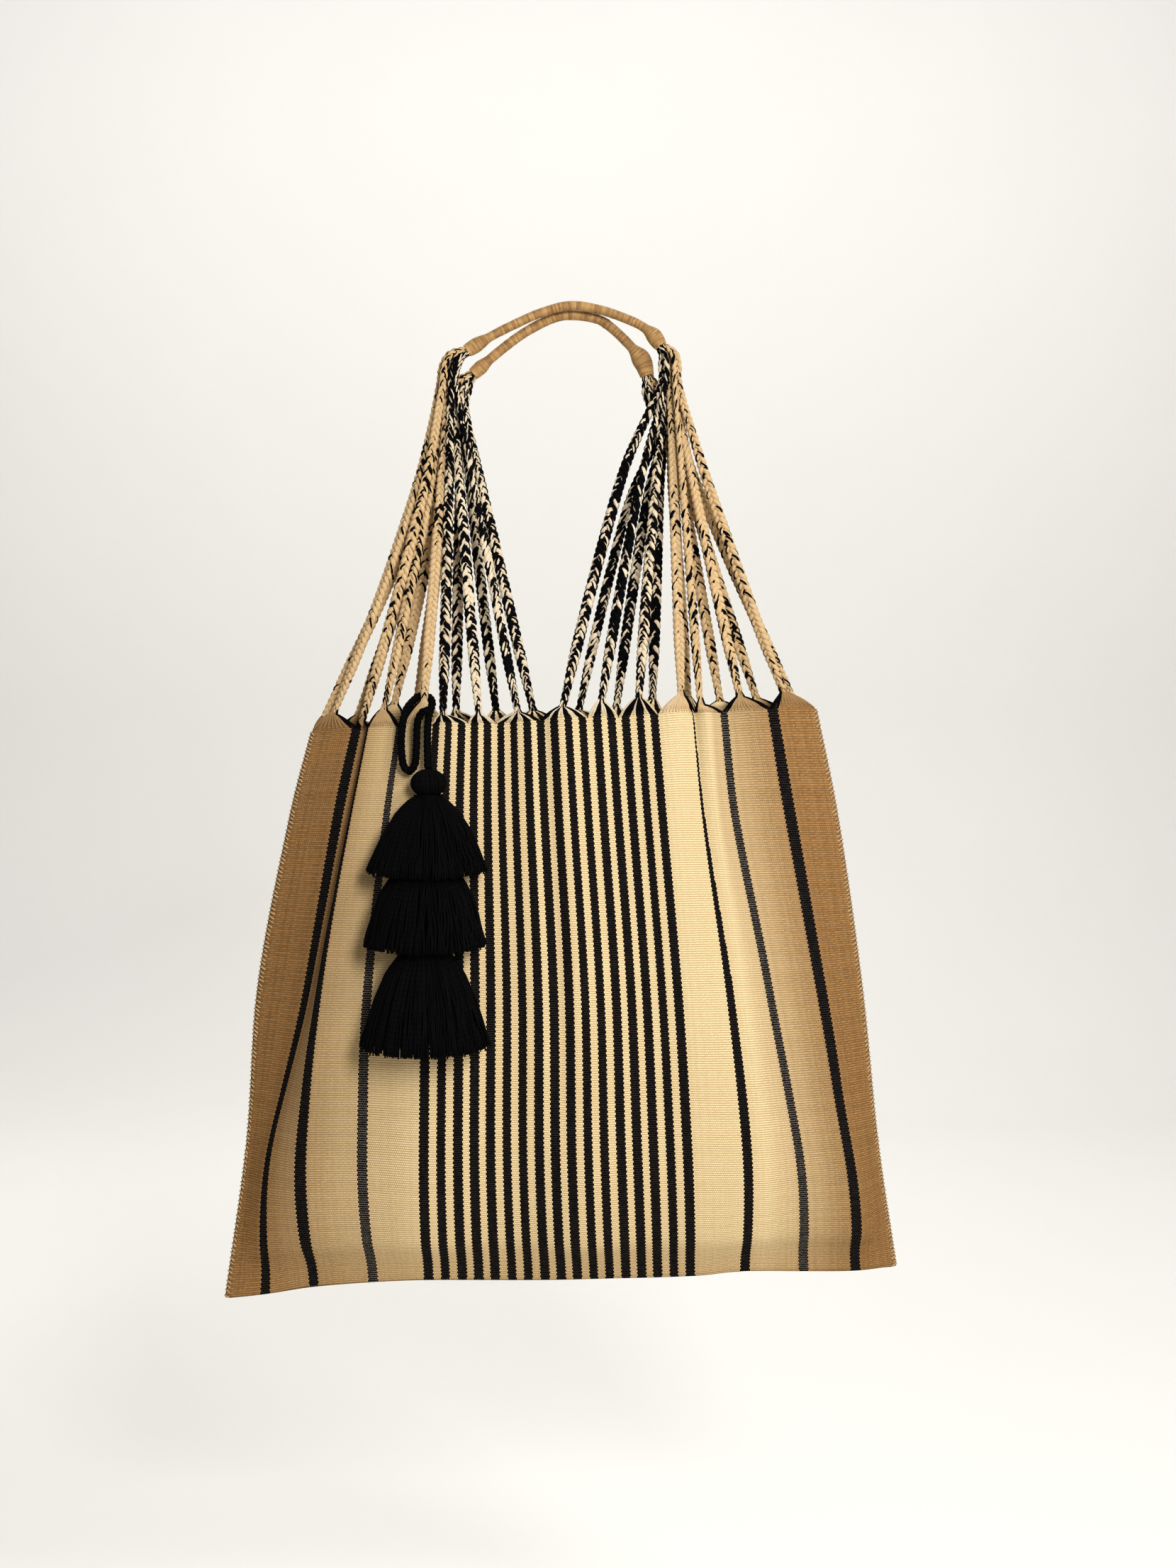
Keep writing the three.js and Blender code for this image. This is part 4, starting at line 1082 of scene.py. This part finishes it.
class WOVENBAG_OT_rim_threads(bpy.types.Operator):
    """Draw the free warp threads of each rim point together into its plait"""
    bl_idname = "woven_bag.rim_threads"
    bl_label = "Rim threads"

    def execute(self, context):
        cloth = context.scene.bag_cloth_settings
        draw = np.random.default_rng(RIM_THREADS["seed"])
        rises = 1.0 - np.linspace(RIM_THREADS["from"], 0.0, RIM_THREADS["steps"]) ** RIM_THREADS["bunch"]
        radius = np.interp(rises, RIM_THREADS["rises"], RIM_THREADS["radii"])
        radius = np.append(radius, RIM_THREADS["end_radius"])
        pile = Pile()
        for panel in PANELS:
            outer = panel_faces(panel, cloth)[0]
            rim = outer[-1] - outward(panel, outer)[-1] * RIM_THREADS["sunk"]
            for k in range(len(RIM_POINTS)):
                flats = column_flats()[point_columns(k)]
                sheet = point_rows(panel, k, rim[point_columns(k)], True, rises)
                route = plait_route(panel, k)
                way = unit(route[1] - route[0])
                count = max(int((flats[-1] - flats[0]) / RIM_THREADS["spacing"]), RIM_THREADS["fewest"])
                for i in range(count):
                    share = i / (count - 1) * (len(flats) - 1) * JUST_UNDER
                    low = int(share)
                    flat = blend_between(flats[low], flats[low + 1], share - low)
                    path = blend_between(sheet[:, low], sheet[:, low + 1], share - low)
                    aside = (path[-1] - route[0]) * RIM_THREADS["aside"]
                    into = RIM_THREADS["into_plait"] + RIM_THREADS["into_spread"] * draw.random()
                    path = np.concatenate([path, [route[0] + way * into + aside]])
                    # the rim threads take on the cloth's gold and its painted shade towards the seams
                    golden = np.clip(max(golden_sides(flat)), 0.0, 1.0)
                    warm = warm_share(flat) + RIM_THREADS["golden"] * golden
                    tone = (1.0 if is_black(flat, cloth) else 0.0, draw.random(), warm)
                    thickness = radius * draw.uniform(*RIM_THREADS["spread"])
                    pile.tubes(path[None], thickness, RIM_THREADS["sides"], [tone], DEEP)
        pile.piece("rim_threads", finish_of(plaited_cotton), "plait_yarn")
        return {"FINISHED"}


def plait_route(panel, k):
    """A plait's route points: from its rim point along the fan, then in its place in the bundle."""
    side, order = divmod(k, len(BUNDLE_PLACES))
    spine = np.array(BUNDLE_ROUTES[panel][side], float)
    place_across, place_deep = BUNDLE_PLACES[order]
    step = np.arange(len(spine))
    along = unit(spine[np.minimum(step + 1, len(spine) - 1)] - spine[np.maximum(step - 1, 0)])
    across = unit(np.cross(DEEP, along))
    deep = np.cross(along, across)
    bundle = spine + (across * place_across + deep * place_deep) * BUNDLE_PITCH
    tip = tip_centre(panel, k)
    bow = blend_between(*BUNDLE_BOWS[side], order / (len(BUNDLE_PLACES) - 1))
    share = np.array(FAN_SHARES)[:, None]
    fan = blend_between(tip, bundle[0], 1.0 - (1.0 - share) ** bow)
    fan[:, 2:] = blend_between(tip[2], bundle[0, 2], share)
    return np.concatenate([[tip], fan, bundle])


def drawn_into_handle(path, spine):
    """A plait's path, drawn towards the middle of its bundle and on into the handle."""
    left = lengths_along(path)[-1] - lengths_along(path)
    spine_left = lengths_along(spine)[-1] - lengths_along(spine)
    middle = [np.interp(left, spine_left[::-1], spine[::-1, axis]) for axis in range(3)]
    share = NECK["draw"] * ease(NECK["length"], 0.0, left)
    drawn = blend_between(path, np.stack(middle, axis=1), share[:, None])
    way = unit(spine[-1] - spine[-2])
    return np.concatenate([drawn, drawn[-1] + way * NECK_DEPTHS[:, None]])


def plait_path(panel, k):
    """A plait's middle line and its thickness, finer at the rim, in the bundle and at the handle."""
    route = plait_route(panel, k)
    spine = smooth_route(BUNDLE_ROUTES[panel][k // len(BUNDLE_PLACES)], PLAIT["step"])
    path = drawn_into_handle(smooth_route(route, PLAIT["step"]), spine)
    places = lengths_along(path)
    neck = lengths_along(route)[len(FAN_SHARES) + 1]
    from_rim = ease(0.0, PLAIT["full_from"], places)
    in_bundle = ease(neck - PLAIT["neck_before"], neck + PLAIT["neck_after"], places)
    at_handle = ease(NECK["length"], NECK["thin_at"], places[-1] - places)
    scale = blend_between(PLAIT["rim"], 1.0, from_rim) * blend_between(1.0, PLAIT["neck"], in_bundle)
    return path, scale * blend_between(1.0, NECK["thin"], at_handle)


class WOVENBAG_OT_plaits(bpy.types.Operator):
    """Plait the strands from every rim point up to the handles"""
    bl_idname = "woven_bag.plaits"
    bl_label = "Plaits"

    def execute(self, context):
        plait = context.scene.bag_plait_settings
        cloth = context.scene.bag_cloth_settings
        draw = np.random.default_rng(PLAIT["seed"])
        finish = finish_of(plaited_cotton)
        for panel in PANELS:
            for k in range(len(RIM_POINTS)):
                path, scale = plait_path(panel, k)
                places = lengths_along(path)
                along = unit(np.gradient(path, axis=0))
                across = unit(np.cross(DEEP, along))
                roll = draw.uniform(-PLAIT["roll"], PLAIT["roll"])
                roll_change = draw.uniform(-PLAIT["roll_change"], PLAIT["roll_change"])
                wide = around(across, np.cross(along, across), roll + roll_change * places / places[-1])
                thin = np.cross(along, wide)
                phase = FULL_TURN * places / (plait.period / MM) + draw.uniform(0.0, FULL_TURN)
                flats = np.linspace(POINT_EDGES[k], POINT_EDGES[k + 1], PLAIT["samples"])
                dark = np.mean([is_black(flat, cloth) for flat in flats])
                dark = dark * BLACK_SHARES[k // len(BUNDLE_PLACES)]
                warm = warm_share(flats.mean())
                paths, tones = [], []
                for strand in range(PLAIT["strands"]):
                    turn = phase + FULL_TURN * strand / PLAIT["strands"]
                    sway = wide * (np.sin(turn) * scale * plait.sway / MM)[:, None]
                    lift = thin * (np.sin(2 * turn) * scale * plait.lift / MM)[:, None]
                    paths.append(path + sway + lift)
                    black = min(dark * draw.uniform(*BLACK_SPREAD), MOST_BLACK)
                    tones.append((black, draw.random(), warm))
                pile = Pile()
                pile.tubes(paths, scale * plait.strand / MM, PLAIT["sides"], tones, thin)
                made = pile.piece(f"plait_strands_{panel}_{k + 1:02d}", finish, "plait_yarn")
                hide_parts(f"plait_{panel}_{k + 1:02d}")
        return {"FINISHED"}


def winding_radius(end, shaft, distance):
    """A handle's radius at a distance from one of its ends."""
    rise = np.sin(np.pi / 2 * np.minimum(distance / end["at"], 1.0))
    rising = blend_between(end["end"], end["bulge"], rise)
    falling = blend_between(end["bulge"], shaft, ease(end["at"], end["length"], distance))
    return np.where(distance < end["at"], rising, falling)


class WOVENBAG_OT_handles(bpy.types.Operator):
    """Wind the yarn of both handles"""
    bl_idname = "woven_bag.handles"
    bl_label = "Handles"

    def execute(self, context):
        handle = context.scene.bag_handle_settings
        draw = np.random.default_rng(WINDING["seed"])
        yarn = handle.yarn / MM
        pitch = handle.pitch / MM
        for panel in PANELS:
            sizes = HANDLES[panel]
            path = smooth_route(sizes["route"], pitch / WINDING["steps"])
            along, side, other = steady_frames(path)
            places = lengths_along(path)
            ends = zip(sizes["ends"], (places, places[-1] - places))
            radii = [winding_radius(end, sizes["radius"], distance) for end, distance in ends]
            wander = draw.normal(0.0, WINDING["wander"], WINDING["wander_places"])
            radius = np.max(radii, axis=0) + spread_along(places, wander)
            pace = spread_along(places, draw.uniform(*WINDING["pace"], WINDING["pace_places"]))
            turns = np.cumsum(np.append(0.0, np.diff(places)) / (pitch * pace))
            out = around(side, other, FULL_TURN * turns)
            wound = path + out * (radius - yarn)[:, None]
            pile = Pile()
            pile.tubes(wound[None], yarn, WINDING["sides"], [(0.0, draw.random(), 0.0)], out)
            few = np.append(np.arange(0, len(path), WINDING["core_every"]), len(path) - 1)
            core_tone = (0.0, draw.random(), 0.0)
            pile.tubes(path[few][None], radius[few] - yarn, WINDING["core_sides"], [core_tone], side[few])
            for i, way in ((0, -1.0), (-1, 1.0)):
                inward = np.linspace(0.0, 1.0, WINDING["swirl_steps"])
                reach = (radius[i] - yarn) * (1.0 - inward) + WINDING["swirl_hole"]
                flat = around(side[i], other[i], FULL_TURN * (radius[i] / pitch) * inward)
                rise = way * WINDING["swirl_rise"] * (1.0 - (reach / radius[i]) ** 2)
                swirl = path[i] + flat * reach[:, None] + along[i] * rise[:, None]
                pile.tubes(swirl[None], yarn, WINDING["sides"], [(0.0, draw.random(), 0.0)], along[i] * way)
            made = pile.piece(f"wound_handle_{panel}", finish_of(wound_yarn), "handle_yarn")
            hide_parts(f"handle_{panel}")
        return {"FINISHED"}


def strand_tones(draw, many):
    """A tone of its own for each strand of black yarn."""
    return np.stack([np.ones(many), draw.random(many), np.zeros(many)], axis=1)


class WOVENBAG_OT_tassel_head(bpy.types.Operator):
    """Lay the yarn over the tassel's round head and tie it below"""
    bl_idname = "woven_bag.tassel_head"
    bl_label = "Tassel head"

    def execute(self, context):
        draw = np.random.default_rng(HEAD["seed"])
        strand = HEAD["strand"]
        many = HEAD["strands"]
        start = (FULL_TURN * np.arange(many) / many)[:, None]
        lean = HEAD["lean"] * np.linspace(0.0, 1.0, HEAD["steps"])
        azimuth = start + lean + draw.normal(0.0, HEAD["stray"], (many, 1))
        polar = np.radians(np.linspace(*HEAD["polar"], HEAD["steps"]))
        polar = polar + draw.normal(0.0, HEAD["stray_down"], (many, 1))
        ball = [np.sin(polar) * np.cos(azimuth), np.sin(polar) * np.sin(azimuth), np.cos(polar)]
        paths = HEAD_CENTRE + np.stack(ball, axis=-1) * (HEAD_RADII - strand * HEAD["sunk"])
        pile = Pile()
        pile.tubes(paths, strand, HEAD["sides"], strand_tones(draw, many), unit(paths - HEAD_CENTRE))
        down = np.linspace(np.pi - HEAD["core_pole"], HEAD["core_pole"], HEAD["steps"])
        core = HEAD_CENTRE + UP * HEAD_RADII[2] * np.cos(down)[:, None]
        core_radius = (HEAD_RADII[:2].mean() - strand * HEAD["core_sunk"]) * np.sin(down)
        pile.tubes(core[None], core_radius, HEAD["core_sides"], [HEAD["core_tone"]], DEEP)
        turns = np.linspace(0.0, TIE["turns"], TIE["steps"])
        tie = np.stack([TIE["width"] * np.cos(FULL_TURN * turns), TIE["depth"] * np.sin(FULL_TURN * turns),
                        -TIE["below"] - TIE["pitch"] * turns], axis=1)
        pile.tubes((HEAD_CENTRE + tie)[None], TIE["radius"], TIE["sides"], [TIE["tone"]], UP)
        made = pile.piece("tassel_crown", finish_of(black_wool), "black_yarn")
        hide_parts("tassel_head")
        return {"FINISHED"}


def skirt_place(skirt, angle, down, reach):
    """Points of a skirt: an angle round it, a share of the way down and a share of its full reach there."""
    top = np.array(skirt["top"])
    hem = np.array(skirt["hem"])
    spread = np.interp(down, SKIRT_DOWN, SKIRT_SPREAD)
    width = blend_between(skirt["width"], skirt["hem_width"], spread) * reach
    depth = np.where(np.sin(angle) < 0, SKIRT_FRONT_SHARE, SKIRT_BACK_SHARE)
    middle = top + (hem - top) * down[..., None]
    middle[..., 0] += width * np.cos(angle)
    middle[..., 1] += width * depth * np.sin(angle)
    return middle


class WOVENBAG_OT_tassel_skirts(bpy.types.Operator):
    """Hang the yarn of the tassel's three skirts"""
    bl_idname = "woven_bag.tassel_skirts"
    bl_label = "Tassel skirts"

    def execute(self, context):
        tassel = context.scene.bag_tassel_settings
        draw = np.random.default_rng(SKIRT_YARN["seed"])
        yarn = tassel.yarn / MM
        many = tassel.strands
        share = np.linspace(0.0, 1.0, SKIRT_YARN["steps"])[None, :]
        for name, skirt in SKIRTS.items():
            layer = np.sqrt(draw.uniform(SKIRT_YARN["inmost"], 1.0, many))
            layer[: many // 2] = draw.uniform(SKIRT_YARN["outer"], 1.0, many // 2)
            angle = FULL_TURN * (np.arange(many) * SKIRT_YARN["turn"] % 1.0)
            angle = (angle + draw.normal(0.0, SKIRT_YARN["stray"], many))[:, None]
            end = 1.0 + draw.normal(0.0, SKIRT_YARN["ragged"], (many, 1))
            end = end + SKIRT_YARN["front_longer"] * np.maximum(-np.sin(angle), 0.0)
            drift = draw.normal(0.0, SKIRT_YARN["drift"], (many, 1)) * share
            bends = share * draw.uniform(*SKIRT_YARN["bends"], (many, 1))
            bends = bends + draw.uniform(0.0, SKIRT_YARN["bend_start"], (many, 1))
            wave = SKIRT_YARN["wave"] * np.sin(bends)
            reach = layer[:, None] + wave - yarn / skirt["hem_width"]
            down = np.minimum(share * end, SKIRT_YARN["longest"])
            paths = skirt_place(skirt, angle + drift + wave, down, reach)
            first = blend_between(np.array(skirt["top"]), paths[:, 0], SKIRT_YARN["neck"])
            first[:, 2] = skirt["neck"]
            shoulder = blend_between(first, paths[:, 0], SKIRT_YARN["shoulder"])
            shoulder[:, 2] = blend_between(first[:, 2], paths[:, 0, 2], SKIRT_YARN["shoulder_drop"])
            paths = np.concatenate([first[:, None], shoulder[:, None], paths], axis=1)
            radii = np.full(paths.shape[:2], yarn) * draw.uniform(*SKIRT_YARN["spread"], (many, 1))
            radii[:, -1] *= SKIRT_YARN["tip"]
            out = np.stack([np.cos(angle), np.sin(angle), np.zeros_like(angle)], axis=-1)
            pile = Pile()
            pile.tubes(paths, radii, SKIRT_YARN["sides"], strand_tones(draw, many), out)
            made = pile.piece(f"tassel_skirt_{name}", finish_of(black_wool), "black_yarn")
            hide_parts(f"tassel_tier_{name}")
        return {"FINISHED"}


def seam_points(panel, way, ins, shares):
    """Points of a panel near a seam: distances in from its edge, and shares of the height."""
    flats = way * (HALF_FLAT - np.array(ins))[:, None]
    shares = np.clip(shares, 0.0, 1.0)[:, None]
    return np.array([panel_points(panel, flat, share)[0, 0] for flat, share in zip(flats, shares)])


class WOVENBAG_OT_seam_stitches(bpy.types.Operator):
    """Sew the overcast stitches up both sides"""
    bl_idname = "woven_bag.seam_stitches"
    bl_label = "Seam stitches"

    def execute(self, context):
        cloth = context.scene.bag_cloth_settings
        draw = np.random.default_rng(STITCH["seed"])
        count = int(CLOTH_HEIGHT * MM / cloth.stitch_pitch)
        step = 1.0 / count
        pile = Pile()
        for way in (-1.0, 1.0):
            for i in range(count):
                share = (i + 0.5) * step + draw.normal(0.0, STITCH["stray"] * step)
                lean = draw.uniform(*STITCH["lean"]) * step
                deep_in = draw.uniform(*STITCH["deep"])
                ins = (deep_in, deep_in * STITCH["half_in"], STITCH["edge_in"])
                front = seam_points("front", way, ins, share - lean * STITCH_LEANS)
                back = seam_points("back", way, ins, share + lean * STITCH_LEANS)
                front[:, 1] -= STITCH_STANDS
                back[:, 1] += STITCH_STANDS
                edge = seam_points("front", way, [0.0], [share])
                edge[:, 0] += way * STITCH["out"]
                edge[:, 1] = 0.0
                route = smooth_route(np.concatenate([front, edge, back[::-1]]), STITCH["step"])
                radius = STITCH["radius"] * draw.uniform(*STITCH["spread"])
                pile.tubes(route[None], radius, STITCH["sides"], [(0.0, draw.random(), 1.0)], UP)
        pile.piece("seam_stitches", finish_of(plaited_cotton), "plait_yarn")
        return {"FINISHED"}


class WOVENBAG_OT_stage(bpy.types.Operator):
    """Lay the pale floor with its sweep and set the lights"""
    bl_idname = "woven_bag.stage"
    bl_label = "Stage"

    def add_light(self, name, light, power):
        """Adds a soft light that faces its aim."""
        data = bpy.data.lights.new(name, "AREA")
        data.energy = power
        data.shape = "RECTANGLE"
        data.size, data.size_y = light["size"]
        lamp = add_object(name, data)
        lamp.location = light["place"]
        toward = Vector(light["aim"]) - Vector(light["place"])
        lamp.rotation_euler = toward.to_track_quat("-Z", "Y").to_euler()

    def execute(self, context):
        stage = context.scene.bag_stage_settings
        bend = np.linspace(0.0, np.pi / 2, SWEEP["bend_steps"])
        wall = SWEEP["wall"]
        ys = np.concatenate([[SWEEP["front"]], wall - SWEEP["radius"] * (1.0 - np.sin(bend)), [wall]])
        zs = np.concatenate([[0.0], SWEEP["radius"] * (1.0 - np.cos(bend)), [SWEEP["height"]]])
        rows = [np.stack([np.full_like(ys, side * SWEEP["half_width"]), ys, stage.floor + zs], axis=1)
                for side in (-1.0, 1.0)]
        index = np.arange(2 * len(ys)).reshape(2, len(ys))
        mesh = bpy.data.meshes.new("pale_sweep")
        mesh.from_pydata(np.concatenate(rows).tolist(), [], grid_faces(index).tolist())
        mesh.polygons.foreach_set("use_smooth", np.ones(len(mesh.polygons), bool))
        mesh.materials.append(finish_of(pale_floor))
        add_object("pale_sweep", mesh)
        for name, light in LIGHTS.items():
            self.add_light(name, light, getattr(stage, light["power"]))
        world = bpy.data.worlds.new("pale_sky")
        world.use_nodes = True
        sky = world.node_tree.nodes["Background"]
        sky.inputs["Color"].default_value = SKY_COLOUR
        sky.inputs["Strength"].default_value = stage.sky
        context.scene.world = world
        context.scene.view_settings.view_transform = "Standard"
        context.scene.view_settings.look = "Medium High Contrast"
        return {"FINISHED"}


class WOVENBAG_PT_sidebar(bpy.types.Panel):
    """Lists the pieces of the bag and their sizes and colours"""
    bl_idname = "WOVENBAG_PT_sidebar"
    bl_label = "Woven Bag"
    bl_space_type = "VIEW_3D"
    bl_region_type = "UI"
    bl_category = "Woven Bag"

    def draw(self, context):
        for operator in OPERATORS:
            self.layout.operator(operator.bl_idname)
        for name, group in SETTINGS.items():
            box = self.layout.box()
            box.label(text=group.__doc__)
            settings = getattr(context.scene, name)
            for prop in group.__annotations__:
                box.prop(settings, prop)


OPERATORS = (
    WOVENBAG_OT_camera,
    WOVENBAG_OT_tassel_cord,
    WOVENBAG_OT_cloth,
    WOVENBAG_OT_rim_threads,
    WOVENBAG_OT_plaits,
    WOVENBAG_OT_handles,
    WOVENBAG_OT_tassel_head,
    WOVENBAG_OT_tassel_skirts,
    WOVENBAG_OT_seam_stitches,
    WOVENBAG_OT_stage,
)
CLASSES = tuple(SETTINGS.values()) + OPERATORS + (WOVENBAG_PT_sidebar,)


def register():
    """Registers the classes and hangs the settings on the scene."""
    for cls in CLASSES:
        bpy.utils.register_class(cls)
    for name, group in SETTINGS.items():
        setattr(bpy.types.Scene, name, PointerProperty(type=group))


def unregister():
    """Takes the settings and classes away again."""
    for name in SETTINGS:
        delattr(bpy.types.Scene, name)
    for cls in reversed(CLASSES):
        bpy.utils.unregister_class(cls)


def main():
    """Makes every piece in order."""
    register()
    for operator in OPERATORS:
        group, name = operator.bl_idname.split(".")
        getattr(getattr(bpy.ops, group), name)()


if __name__ == "__main__":
    main()
